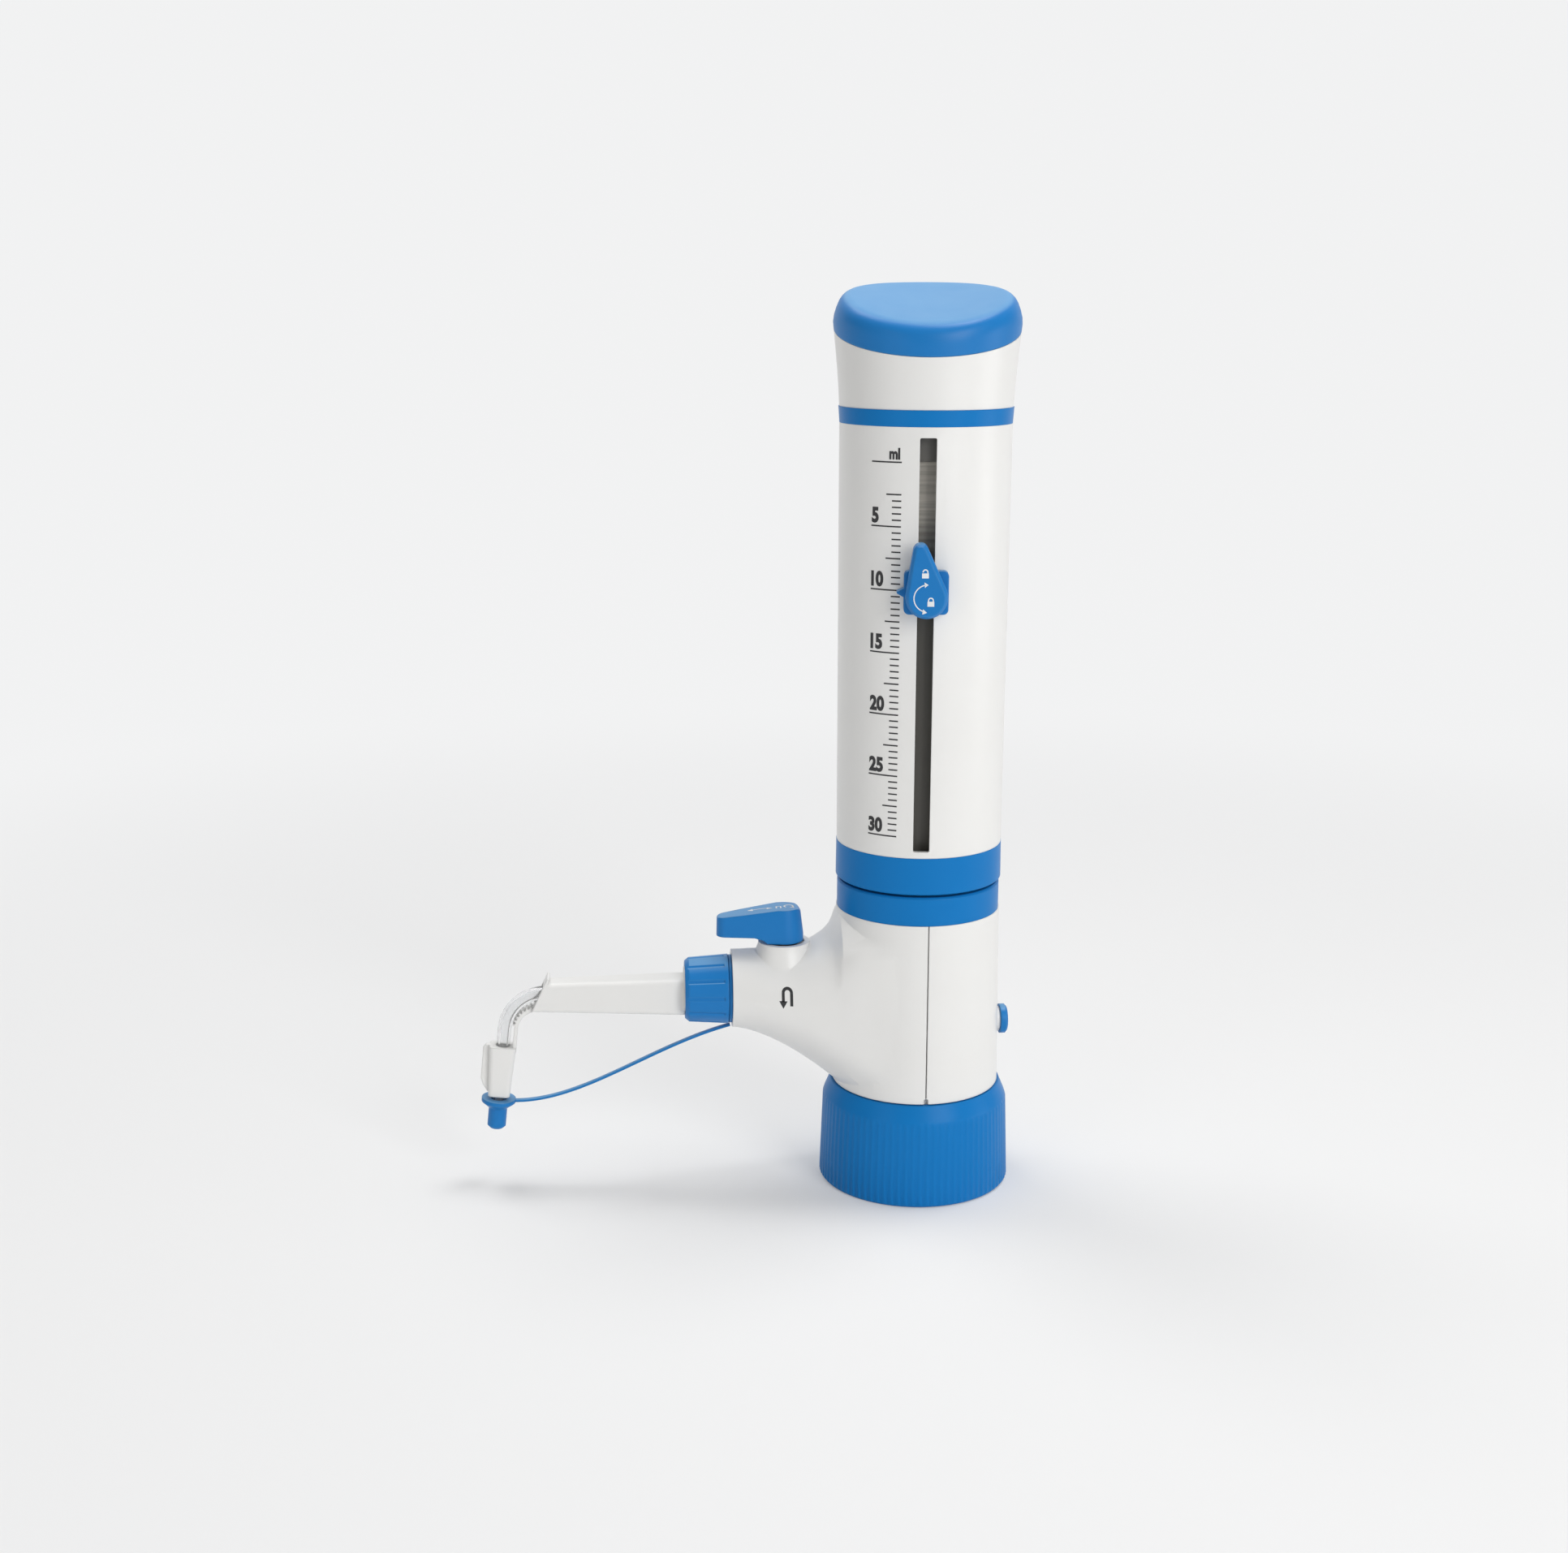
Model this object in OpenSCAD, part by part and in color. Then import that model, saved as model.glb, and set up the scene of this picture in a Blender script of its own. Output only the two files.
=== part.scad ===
// Bottle-top dispenser: a hand pump that screws on a laboratory bottle and gives a set volume.
// Millimetres. The bottle collar stands on z = 0, +Z runs up the pump, the nozzle points to -X.
// The seam between the two housing shells, and the viewer of the scale, are at -Y.

/* [Bottle collar] */
// Radius of the collar at its foot
collar_foot_r = 28.5; // [27.5:0.1:30]
// Radius of the collar just under its shoulder
collar_waist_r = 27.5; // [26.8:0.1:28.5]
// Height of the whole collar
collar_h = 30.4; // [28:0.2:34]
// Height of the sloped shoulder at the collar's top
collar_shoulder_h = 5.4; // [3:0.2:7]
// Wall radius of the bottle thread, size 45
thread_r = 22.5; // [20:0.1:23]
// Length of the threaded wall
thread_h = 12.6; // [10:0.2:13]
// Number of fine grip ribs round the collar
collar_ribs = 84; // [60:2:100]
// Depth of a grip rib
collar_rib_depth = 0.2; // [0.15:0.05:0.6]
// Thickness of the web that carries the pump in the collar
web_t = 2.5; // [2:0.1:3.5]

/* [Housing shells] */
// Radius of the white housing where it leaves the collar
body_foot_r = 24.8; // [24:0.1:25.2]
// Radius of the white housing at its top edge
body_top_r = 24.1; // [23.6:0.1:24.6]
// Height of the housing's top edge
body_top_z = 84.5; // [82:0.5:92]
// Wall of the two shells
shell_wall = 2.3; // [1.8:0.1:2.6]
// Radius of the snout's round end face
snout_r = 11.4; // [11:0.1:12.5]
// Distance of the snout's end face from the pump axis
snout_reach = 55.3; // [52:0.5:60]
// Height of the snout's axis
snout_z = 59.2; // [57:0.2:61]
// How far down the snout's lower edge has swept where it meets the barrel
snout_sweep = 16.3; // [12:0.1:18]
// Half width of the snout where its sides run into the barrel
snout_root_w = 23; // [21:0.1:23.4]
// Radius of the round boss under the valve lever
boss_r = 7.6; // [6.4:0.1:8.2]
// Distance of the valve lever's axis from the pump axis
boss_reach = 39.7; // [37:0.1:42]
// Height of the boss's top
boss_top_z = 73.9; // [73:0.1:75]
// Radius of the small vent boss on the far side
vent_boss_r = 3.6; // [3:0.1:4.2]
// Width of the groove along the housing's seam
seam_w = 0.36; // [0.2:0.02:0.5]
// Height of the vent
vent_z = 47.8; // [42:0.2:54]

/* [Pump] */
// Inner radius of the glass cylinder: 30 ml over the stroke
glass_bore_r = 9.525; // [8.5:0.005:10]
// Wall of the glass cylinder
glass_wall = 2.2; // [1.6:0.1:2.4]
// Full lift of the sleeve
stroke = 105.2; // [90:0.2:108]
// Height of the piston's skirt
piston_h = 12.5; // [10:0.5:16]
// Radius of the piston rod
rod_r = 5; // [4:0.1:6]
// Outer radius of the dark guard tube
guard_r = 19.3; // [18:0.1:19.8]
// Wall of the guard tube
guard_wall = 1.5; // [1.2:0.1:2]
// Outer radius of the stop ring at the guard tube's top
stop_ring_r = 20.5; // [20:0.1:20.6]
// Height of the stop ring's lower face, which is the scale's zero
scale_zero_z = 216; // [216:0.1:216]
// Travel of one millilitre on the scale
ml_travel = 3.507; // [3.4:0.001:3.6]
// Full scale of the pump, in millilitres
full_ml = 30; // [10:5:30]

/* [Valve block] */
// Radius of the block's core
block_r = 17.5; // [17:0.1:17.8]
// Offset of the suction valve from the pump axis, away from the nozzle
suction_off = 2.5; // [2:0.1:3]
// Distance of the discharge valve from the pump axis, towards the nozzle
discharge_off = 9.5; // [9:0.1:10]
// Radius of both valve balls
ball_r = 2.2; // [2:0.05:2.3]
// Lift of a valve ball off its seat
ball_lift = 1.2; // [0.8:0.1:1.6]
// Radius of the liquid channels
channel_r = 1.6; // [1.2:0.1:1.7]
// Radius of the suction nipple, where the bottle tube is pushed on
suction_nipple_r = 3; // [2.5:0.1:3.2]
// Radius of the return nipple
return_nipple_r = 1.9; // [1.5:0.1:2]
// Radius of the threaded neck that takes the union nut
neck_r = 7.9; // [7.6:0.1:8]
// Radius of the valve lever's spindle
spindle_r = 3; // [2.6:0.1:3.2]
// Depth of the spindle's end below the snout's axis
spindle_drop = 4.6; // [4:0.1:5.5]

/* [Lower ring] */
// Radius of the fixed blue ring
ring_r = 23.85; // [23.5:0.05:24.2]
// Height of the fixed blue ring
ring_h = 8.4; // [8:0.1:10]
// Open groove between the fixed ring and the sleeve's skirt at rest
rest_gap = 0.8; // [0.3:0.1:1]

/* [Sleeve] */
// Turn of the sleeve, slider and head from the seam towards the nozzle
sleeve_turn = 6.3; // [0:0.1:12]
// Outer radius of the white sleeve at its foot
sleeve_foot_r = 24.1; // [23.9:0.05:24.3]
// Outer radius of the white sleeve at its top
sleeve_top_r = 24.4; // [24.2:0.05:24.6]
// Inner radius of the sleeve
sleeve_bore_r = 22.6; // [22.4:0.05:22.7]
// Height of the blue skirt ring on the sleeve
skirt_h = 10.9; // [9:0.1:12]
// Length of the white sleeve between its blue rings
sleeve_h = 120.9; // [120.9:0.1:121.5]
// Width of the slot for the volume slider
slot_w = 4.6; // [4.2:0.05:5]
// Length of the slot
slot_h = 116.1; // [115:0.1:117]
// Distance of the slot's foot from the skirt ring
slot_foot = 1.9; // [1.6:0.1:2.8]

/* [Head] */
// Height of the blue accent ring
accent_h = 4.5; // [4:0.1:5.5]
// Radius of the accent ring at its top
accent_top_r = 24.7; // [24.5:0.1:25]
// Radius of the white head where it leaves the accent ring
head_foot_r = 24.5; // [24.3:0.1:24.6]
// Widest radius of the head
head_wide_r = 26.4; // [25.5:0.1:27]
// Height of the widest place over the accent ring
head_wide_h = 23; // [21:0.5:25]
// How far the cap's side has drawn in 8 mm above its widest place
cap_draw = 2.8; // [2.2:0.1:3.4]
// Slope of the join between white head and blue cap, degrees
join_slope = 15.6; // [10:0.1:18]
// Height of that join over the accent ring, on the axis
join_h = 21.2; // [19:0.1:23]
// Height of the thumb hollow over the accent ring, on the axis
dish_mid = 28.9; // [28:0.1:30]
// Slope of the thumb hollow, degrees
dish_lean = 14; // [10:0.5:16]
// Rise of the hollow at its sides over its middle line
dish_bow = 3; // [1:0.1:4]
// Rounding of the cap's rim at the sides and back
rim_round = 1.5; // [1:0.1:3]
// Rounding of the cap's rim at the front, where the thumb rolls over it
rim_round_front = 4.6; // [3:0.1:6]
// Thickness of the plate that carries the piston rod
plate_t = 3.5; // [3:0.1:4.5]

/* [Volume slider] */
// Set volume at rest, in millilitres
set_ml = 10; // [5:0.5:25]
// Width of the slider block
slider_w = 12.3; // [11.5:0.1:13.5]
// Height of the slider block
slider_h = 12; // [11:0.1:13]
// Corner radius of the slider block
slider_corner_r = 1.5; // [1:0.1:2.5]
// Distance of the block's front face from the pump axis
slider_front = 27.6; // [27.2:0.1:29]
// Length of the small pointer beside the block
pointer_len = 1.9; // [1.4:0.1:2.5]
// Radius of the lock lever's round foot
lock_r = 5.8; // [5.4:0.1:6.2]
// Radius of the lock lever's tip
lock_tip_r = 2.1; // [1.8:0.1:2.6]
// Distance from the lock lever's axis to the centre of its tip
lock_len = 12.8; // [11:0.1:14.5]
// Thickness of the lock lever
lock_t = 5; // [4:0.1:6]
// Lean of the lock lever from upright, degrees
lock_lean = 8; // [0:1:12]
// Radius of the clamping shaft
clamp_r = 1.2; // [1:0.05:1.4]

/* [Valve lever] */
// Radius of the valve lever's round foot
tap_r = 5.75; // [5.4:0.05:6.2]
// Radius of its tip
tap_tip_r = 3.1; // [2.6:0.1:3.6]
// Distance from the axis to the lever's tip
tap_reach = 20; // [18:0.5:22]
// Height of the lever over the boss
tap_h = 10; // [9:0.1:11]
// Height of the lever's arm at its tip
tap_arm_h = 5.8; // [5:0.1:6.5]
// Height of the free space under the arm
tap_under = 1.7; // [1.4:0.1:2.2]

/* [Union nut and nozzle] */
// Radius of the union nut at the snout
nut_r = 10.3; // [9.9:0.1:10.8]
// Radius of the union nut at its outer end
nut_end_r = 9.45; // [9.4:0.05:9.8]
// Length of the union nut with the strap's ring
nut_len = 13.9; // [13.9:0.1:15]
// Number of grip grooves round the nut
nut_grooves = 12; // [8:1:16]
// Length of the nozzle's white shroud past the nut
shroud_len = 41.5; // [38:0.5:46]
// Half width of the shroud at the nut
shroud_w = 4.6; // [4.3:0.1:5]
// Half width of the shroud at its open end
shroud_end_w = 3.7; // [3.4:0.1:4.2]
// Height of the shroud at the nut
shroud_h = 11.1; // [10.6:0.1:11.6]
// Height of the shroud at its open end
shroud_end_h = 8.7; // [8:0.1:9.4]
// Wall of the shroud
shroud_wall = 1.1; // [0.9:0.05:1.3]
// Radius of the clear discharge tube
tube_r = 2; // [1.8:0.05:2.1]
// Bore of the clear discharge tube
tube_bore_r = 1.1; // [0.8:0.05:1.3]
// Bend radius of the tube's centre line
bend_r = 12.2; // [10:0.1:14]
// How far the bend's centre lies inside the shroud's end
bend_back = 0.2; // [-1:0.1:2]
// Lean of the tube's lower leg from upright, degrees
leg_lean = 6; // [0:0.5:10]
// Length of the tube's lower leg
leg_len = 24.2; // [22:0.2:26]
// Length of the white clip that holds the leg
clip_len = 15.5; // [14:0.1:17]
// Distance from the end of the bend to the clip
clip_start = 5.2; // [4.4:0.1:6]

/* [Tip cap and strap] */
// Radius of the tip cap's flange
tip_flange_r = 5.05; // [4.6:0.05:5.6]
// Radius of the tip cap's stem
tip_stem_r = 2.75; // [2.6:0.05:3.2]
// Length of the whole tip cap
tip_len = 9.4; // [8.5:0.1:11]
// Width of the strap
strap_w = 1.8; // [1.4:0.1:3.2]
// Thickness of the strap
strap_t = 0.8; // [0.6:0.05:1.4]
// Pull of the strap's first curve, at the cap, as a share of its span
strap_foot_pull = 0.315; // [0.25:0.005:0.4]
// Pull of the strap's second curve, at the neck, as a share of its span
strap_head_pull = 0.387; // [0.3:0.005:0.45]

/* [Vent plug] */
// Radius of the vent plug's head
plug_r = 4.4; // [4:0.1:5]
// Thickness of the vent plug's head
plug_t = 2.2; // [1.8:0.1:2.8]
// Radius of the vent plug's stem
plug_stem_r = 2.2; // [1.8:0.1:2.5]

/* [Clearances] */
// Air between pieces that move against each other
run_gap = 0.3; // [0.3:0.05:0.4]
// Air of a running or pushed fit
fit_gap = 0.05; // [0.03:0.01:0.08]

/* [Hidden] */
$fn = 96;
eps = 0.01;
white = [0.9, 0.9, 0.88];
blue = [0.09, 0.42, 0.75];
dark = [0.22, 0.22, 0.21];
steel = [0.75, 0.76, 0.78];
clear = [0.85, 0.9, 0.92, 0.4];
natural = [0.93, 0.92, 0.88];
black = [0.12, 0.12, 0.12];

// Heights of the foot: thread, bottle seal, flange, web of the collar, housing
seal_z0 = thread_h + 1;
seal_t = 1.2;
flange_z0 = seal_z0 + seal_t;
flange_t = 4;
flange_z1 = flange_z0 + flange_t;
web_z0 = flange_z1 + run_gap;
web_z1 = web_z0 + web_t;
web_hole_r = block_r + run_gap;
body_z0 = web_z1 + run_gap;
body_step_z = collar_h + run_gap;
spigot_r = body_foot_r - 1.3;
recess_r = spigot_r + run_gap + 0.1;
collar_lip_r = body_foot_r + 0.6;
flange_r = thread_r - 1.2;
block_ceiling = flange_z1 + 5.7;
foot_bore_r = 14;
foot_spigot_r = 15.6;
body_bore_r = body_top_r - shell_wall;
vent_boss_x = body_foot_r + 0.6;

cartridge_r = 4.25;
cartridge_h = snout_z - channel_r - block_ceiling - 0.2;

// Snout: its edges as functions of the distance from the pump axis
function snout_w(d) = snout_r + (snout_root_w - snout_r) * (snout_reach - d) / (snout_reach - 8);
function snout_low(d) =
    snout_z - snout_r - snout_sweep * pow(max(0, snout_reach - d) / (snout_reach - 25), 1.586);
function snout_up(d) = snout_z + snout_r + 0.4
    + 0.11 * pow(max(0, snout_reach - 16.3 - d), 1.5)
    + 5.5 / max(0.9, d - body_top_r + 0.9) - 5.5 / (snout_reach - body_top_r + 0.9);
function snout_half(d) = d < 8 ? snout_root_w : snout_w(d);

// Pump
glass_r = glass_bore_r + glass_wall;
pocket_z = body_top_z - 5.5;
gasket_t = 1.2;
glass_z0 = pocket_z + gasket_t;
piston_z0 = pocket_z + 0.4;
piston_r = glass_bore_r - fit_gap - 0.015;
piston_z1 = piston_z0 + piston_h;
groove_z0 = piston_z0 + 0.24 * piston_h;
groove_z1 = piston_z0 + 0.48 * piston_h;
ring_web_t = 3;
ring_edge = 0.5;
ring_z1 = body_top_z + ring_h;
guard_z0 = body_top_z + ring_web_t;
stop_z0 = scale_zero_z;
stop_gap = 1.6;
glass_z1 = stop_z0 - 4;
guard_bore_r = guard_r - guard_wall;

// Sleeve and head
skirt_z0 = ring_z1 + rest_gap;
skirt_z1 = skirt_z0 + skirt_h;
skirt_r = sleeve_foot_r + 0.1;
sleeve_z1 = skirt_z1 + sleeve_h;
sleeve_low_r = sleeve_foot_r - 0.8;
slot_z0 = skirt_z1 + slot_foot;
accent_z1 = sleeve_z1 + accent_h;
plate_z1 = accent_z1;
plate_z0 = plate_z1 - plate_t;
stop_t = plate_z0 - stop_z0 - stop_gap;
plate_r = sleeve_bore_r - 0.4;
stud_r = rod_r - 2;
head_wall = 2;
head_bore_r = head_foot_r - head_wall;

// Slider
slider_z = scale_zero_z - set_ml * ml_travel;
slider_back = sleeve_top_r + run_gap;
dog_out_r = sleeve_bore_r - run_gap;
dog_in_r = stop_ring_r + run_gap + 0.1;
slider_neck_w = slot_w - 2 * run_gap;
slider_neck_h = 2 * (scale_zero_z - full_ml * ml_travel - slot_z0 - run_gap);
lock_z0 = slider_front + 0.1;
lock_z = slider_z - 0.8;

// Snout end, nut and nozzle
ring_tab_t = 1;
nut_x0 = snout_reach + ring_tab_t + 0.1;
nut_x1 = snout_reach + nut_len;
nut_wall = 2;
nut_hole_r = neck_r - 1;
neck_x1 = nut_x1 - nut_wall - 2.4;
shroud_x1 = nut_x1 + shroud_len;
bend_x = shroud_x1 - bend_back;
shroud_z = snout_z - 1.3;
shroud_end_z = snout_z - 0.8;
shroud_lean = 25;
nut_lean = atan((nut_r - nut_end_r) / (nut_x1 - nut_x0));
bend_z = snout_z - bend_r;
leg_x = bend_x + bend_r * cos(leg_lean);
leg_z = bend_z + bend_r * sin(leg_lean);
tube_sides = 24;
tip_x = leg_x + leg_len * sin(leg_lean);
tip_z = leg_z - leg_len * cos(leg_lean);
cap_back = 2.4;
cap_at = leg_len - cap_back + 0.55;
cap_edge = [-leg_x - cap_at * sin(leg_lean) + tip_flange_r * cos(leg_lean),
    leg_z - cap_at * cos(leg_lean) - tip_flange_r * sin(leg_lean)];
spine_t = 1.1;
spine_r = 6.5;
spine_off = 3.4;
spine_z = shroud_end_z - shroud_end_h / 2 + shroud_wall / 2 - spine_r;
spine_x = leg_x - (spine_off + spine_r) / cos(leg_lean)
    + (leg_z - spine_z) * tan(leg_lean);
spine_lead = (leg_x - spine_x - spine_r * cos(leg_lean)) * sin(leg_lean)
    + (spine_z + spine_r * sin(leg_lean) - leg_z) * cos(leg_lean) + 0.02;

// Helpers

module tube_between(r_out, r_in, z0, z1) {
    difference() {
        translate([0, 0, z0])
            cylinder(h = z1 - z0, r = r_out);
        translate([0, 0, z0 - 1])
            cylinder(h = z1 - z0 + 2, r = r_in);
    }
}

// A rod along X from x = -a to x = -b at height z
module rod_x(a, b, r1, r2, z) {
    translate([-a, 0, z])
        rotate([0, -90, 0])
            cylinder(h = b - a, r1 = r1, r2 = r2);
}

module rounded_slab(w, h, r) {
    union() {
        square([w - 2 * r, h], center = true);
        square([w, h - 2 * r], center = true);
        for (x = [-1, 1], y = [-1, 1])
            translate([x * (w / 2 - r), y * (h / 2 - r)])
                circle(r = r, $fn = 32);
    }
}

// Carries things at the leg of the discharge tube: local +Z points down along the leg
module on_leg() {
    translate([-leg_x, 0, leg_z])
        rotate([0, 180 + leg_lean, 0])
            children();
}

// Turns things of the sleeve to the slot
module at_sleeve() {
    rotate([0, 0, -sleeve_turn])
        children();
}

// Lays a drawing on the front of the sleeve: x to the right, y up, z outwards
module on_front(dist, z) {
    rotate([0, 0, -sleeve_turn])
        translate([0, -dist, z])
            rotate([90, 0, 0])
                children();
}

// Bottle collar: one turning cap with the bottle thread and the web that carries the pump

module collar_ribs_outline() {
    step = 360 / collar_ribs;
    polygon([for (i = [0 : collar_ribs - 1], k = [0 : 3])
        let (r = collar_foot_r - (k < 2 ? 0 : collar_rib_depth), a = (i + k * 0.25) * step)
        [r * cos(a), r * sin(a)]]);
}

module bottle_collar() {
    color(blue)
    difference() {
        intersection() {
            linear_extrude(height = collar_h, scale = collar_waist_r / collar_foot_r)
                collar_ribs_outline();
            rotate_extrude()
                polygon([[0, 0], [collar_foot_r - 0.5, 0], [collar_foot_r, 0.7],
                    [collar_waist_r + 0.1, collar_h - collar_shoulder_h],
                    [collar_waist_r - 0.3, collar_h - collar_shoulder_h + 1.2],
                    [collar_lip_r, collar_h], [0, collar_h]]);
        }
        translate([0, 0, -1])
            cylinder(h = thread_h + 1.6, r = thread_r);
        translate([0, 0, thread_h - eps])
            cylinder(h = web_z0 - thread_h + eps, r = thread_r - 0.6);
        translate([0, 0, thread_h])
            cylinder(h = web_t + web_z0 + 1, r = web_hole_r);
        translate([0, 0, web_z1])
            cylinder(h = collar_h, r = recess_r);
    }
}

// Housing: two moulded shells that meet in the plane of the seam

function section_points(d, cut) = [
    for (i = [0 : 35])
        let (a = i * 10 + 5, w = snout_half(d) - cut)
        [-d, w * cos(a), (a < 180 ? snout_up(d) - cut - w : snout_low(d) + cut + w) + w * sin(a)]];

// A skin through rounded sections, from the snout's end to the inside of the barrel
module snout_loft(cut, d0, d1, steps) {
    near = body_top_r + 9;
    ds = concat([for (i = [0 : steps]) d0 + (near - d0) * i / steps],
        [for (i = [1 : 10]) near + (body_top_r - 0.4 - near) * i / 10],
        [for (i = [1 : 3]) body_top_r - 0.4 + (d1 - body_top_r + 0.4) * i / 3]);
    last = steps + 13;
    pts = [for (d = ds, p = section_points(d, cut)) p];
    faces = concat(
        [[for (i = [0 : 35]) i]],
        [for (s = [0 : last - 1], i = [0 : 35])
            [s * 36 + i, (s + 1) * 36 + i, (s + 1) * 36 + (i + 1) % 36, s * 36 + (i + 1) % 36]],
        [[for (i = [35 : -1 : 0]) last * 36 + i]]);
    polyhedron(points = pts, faces = faces, convexity = 6);
}

module barrel_outer() {
    translate([0, 0, body_z0])
        cylinder(h = body_step_z - body_z0 + 1, r = spigot_r);
    translate([0, 0, body_step_z])
        cylinder(h = body_top_z - body_step_z, r1 = body_foot_r, r2 = body_top_r);
}

module barrel_inner() {
    translate([0, 0, body_z0 - 1])
        cylinder(h = body_top_z - body_z0 + 2, r = body_bore_r);
}

// Narrow groove along the seam on both sides of the barrel, half of it in each shell
module seam_groove() {
    for (side = [-1, 1])
        translate([-seam_w / 2, side * (body_foot_r - 0.4) - 1, body_z0 - 1])
            cube([seam_w, 2, body_top_z - body_z0 + 2]);
    for (side = [-1, 1])
        translate([-0.65, side * (body_foot_r - 0.4) - 1, body_step_z - 1])
            cube([1.3, 2, 2.5]);
}

// Ring ribs that seat the shells on the valve block
module shell_ribs() {
    tube_between(body_bore_r + 0.5, block_r + fit_gap, body_z0, body_z0 + 2.4);
    tube_between(body_bore_r + 0.5, block_r + fit_gap, body_top_z - 7, body_top_z - 5);
}

module housing_front() {
    color(white)
    difference() {
        union() {
            difference() {
                union() {
                    barrel_outer();
                    intersection() {
                        snout_loft(0, snout_reach, 3, 12);
                        translate([-100, -50, body_step_z])
                            cube([100, 100, body_top_z - body_step_z]);
                    }
                    translate([-boss_reach, 0, snout_z])
                        cylinder(h = boss_top_z - snout_z - 0.8, r1 = boss_r + 5.5, r2 = boss_r);
                    translate([-boss_reach, 0, boss_top_z - 0.8 - eps])
                        cylinder(h = 0.8 + eps, r = boss_r);
                }
                barrel_inner();
                intersection() {
                    snout_loft(shell_wall, snout_reach - shell_wall, 4, 6);
                    translate([-100, -50, body_step_z + shell_wall])
                        cube([100, 100, body_top_z - body_step_z - 2 * shell_wall]);
                }
            }
            shell_ribs();
        }
        rod_x(snout_reach - 10, snout_reach + 1, neck_r + 0.2, neck_r + 0.2, snout_z);
        translate([-boss_reach, 0, snout_z])
            cylinder(h = 30, r = boss_r - 1.6);
        rod_x(10, snout_reach - 8, 10, 9, snout_z);
        translate([0, -2 * body_foot_r, 0])
            cube([2 * body_foot_r, 4 * body_foot_r, 2 * body_top_z]);
        seam_groove();
    }
}

module housing_rear() {
    color(white)
    difference() {
        union() {
            difference() {
                barrel_outer();
                barrel_inner();
            }
            shell_ribs();
            translate([body_bore_r + 0.4, 0, vent_z])
                rotate([0, 90, 0])
                    cylinder(h = vent_boss_x - body_bore_r - 0.4, r = vent_boss_r);
        }
        translate([body_bore_r - 2, 0, vent_z])
            rotate([0, 90, 0])
                cylinder(h = 8, r = plug_stem_r + fit_gap);
        translate([-2 * body_foot_r + fit_gap, -2 * body_foot_r, 0])
            cube([2 * body_foot_r, 4 * body_foot_r, 2 * body_top_z]);
        seam_groove();
    }
}

// Valve block: core, arm to the nozzle, turret of the recirculation valve, channels

module valve_block() {
    narrow_r = channel_r - 0.3;
    return_r = 1.1;
    turn_z = snout_z - channel_r - return_r - 1.7;
    color(natural)
    difference() {
        union() {
            translate([0, 0, flange_z1])
                cylinder(h = body_top_z - flange_z1, r = block_r);
            translate([0, 0, body_z0 + 2.4 + fit_gap])
                cylinder(h = 2.6, r = block_r + 2);
            rod_x(8, snout_reach - 10, 9.4, 7.4, snout_z);
            rod_x(snout_reach - 11, neck_x1, neck_r, neck_r, snout_z);
            translate([-boss_reach, 0, snout_z])
                cylinder(h = boss_top_z - 0.6 - snout_z, r = boss_r - 1.7);
        }
        translate([0, 0, pocket_z])
            cylinder(h = 10, r = glass_r + fit_gap);
        translate([0, 0, flange_z1 - 1])
            cylinder(h = block_ceiling - flange_z1 + 1, r = foot_spigot_r + fit_gap);
        translate([suction_off, 0, block_ceiling - 1])
            cylinder(h = 13, r = 5.5);
        translate([suction_off, 0, block_ceiling])
            cylinder(h = 60, r = channel_r);
        translate([-discharge_off, 0, block_ceiling - 1])
            cylinder(h = cartridge_h + 1.1, r = cartridge_r);
        rod_x(-suction_off - 0.5, discharge_off, narrow_r, narrow_r, 42);
        rod_x(discharge_off - 0.4, neck_x1 + 1, channel_r, channel_r, snout_z);
        rod_x(neck_x1 - 8, neck_x1 + 1, 4.5, 4.5, snout_z);
        translate([-discharge_off, 0, block_ceiling + 20])
            cylinder(h = snout_z - block_ceiling - 20, r = narrow_r);
        translate([-boss_reach, 0, snout_z - spindle_drop - 0.3])
            cylinder(h = 30, r = spindle_r + fit_gap);
        translate([-boss_reach, 0, boss_top_z - 3.2])
            cylinder(h = 5, r = 4.4);
        translate([-5.5, 9.2, block_ceiling - 1])
            cylinder(h = turn_z - block_ceiling + 2.5, r = return_r);
        translate([-5.5, 9.2, turn_z])
            rotate([0, 90, 180 + atan2(9.2, boss_reach - 5.5)])
                cylinder(h = norm([boss_reach - 5.5, 9.2]), r = return_r - 0.2);
        translate([-5.5, 9.2, block_ceiling - 1])
            cylinder(h = 5, r = 1.9 + fit_gap);
    }
}

module foot_flange() {
    color(natural)
    difference() {
        union() {
            translate([0, 0, flange_z0])
                cylinder(h = flange_t, r = flange_r);
            translate([0, 0, flange_z0])
                cylinder(h = block_ceiling - flange_z0 - 0.4, r = foot_spigot_r);
        }
        translate([0, 0, flange_z0 - 1])
            cylinder(h = 20, r = foot_bore_r);
    }
}

module bottle_seal() {
    color(black)
        tube_between(flange_r - 0.6, foot_bore_r + 1, seal_z0, flange_z0);
}

// Suction side

module suction_valve() {
    color(steel)
    translate([suction_off, 0, block_ceiling])
    difference() {
        cylinder(h = 11.6, r = 5.5 - fit_gap);
        translate([0, 0, -1])
            cylinder(h = 20, r = 1.5);
        translate([0, 0, 4])
            cylinder(h = 8, r = ball_r + 0.12);
        translate([0, 0, -1])
            cylinder(h = 3, r = 2);
    }
}

module suction_ball() {
    color(clear)
    translate([suction_off, 0, block_ceiling + 4 + sqrt(ball_r * ball_r - 1.5 * 1.5) + 0.02])
        sphere(r = ball_r);
}

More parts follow.
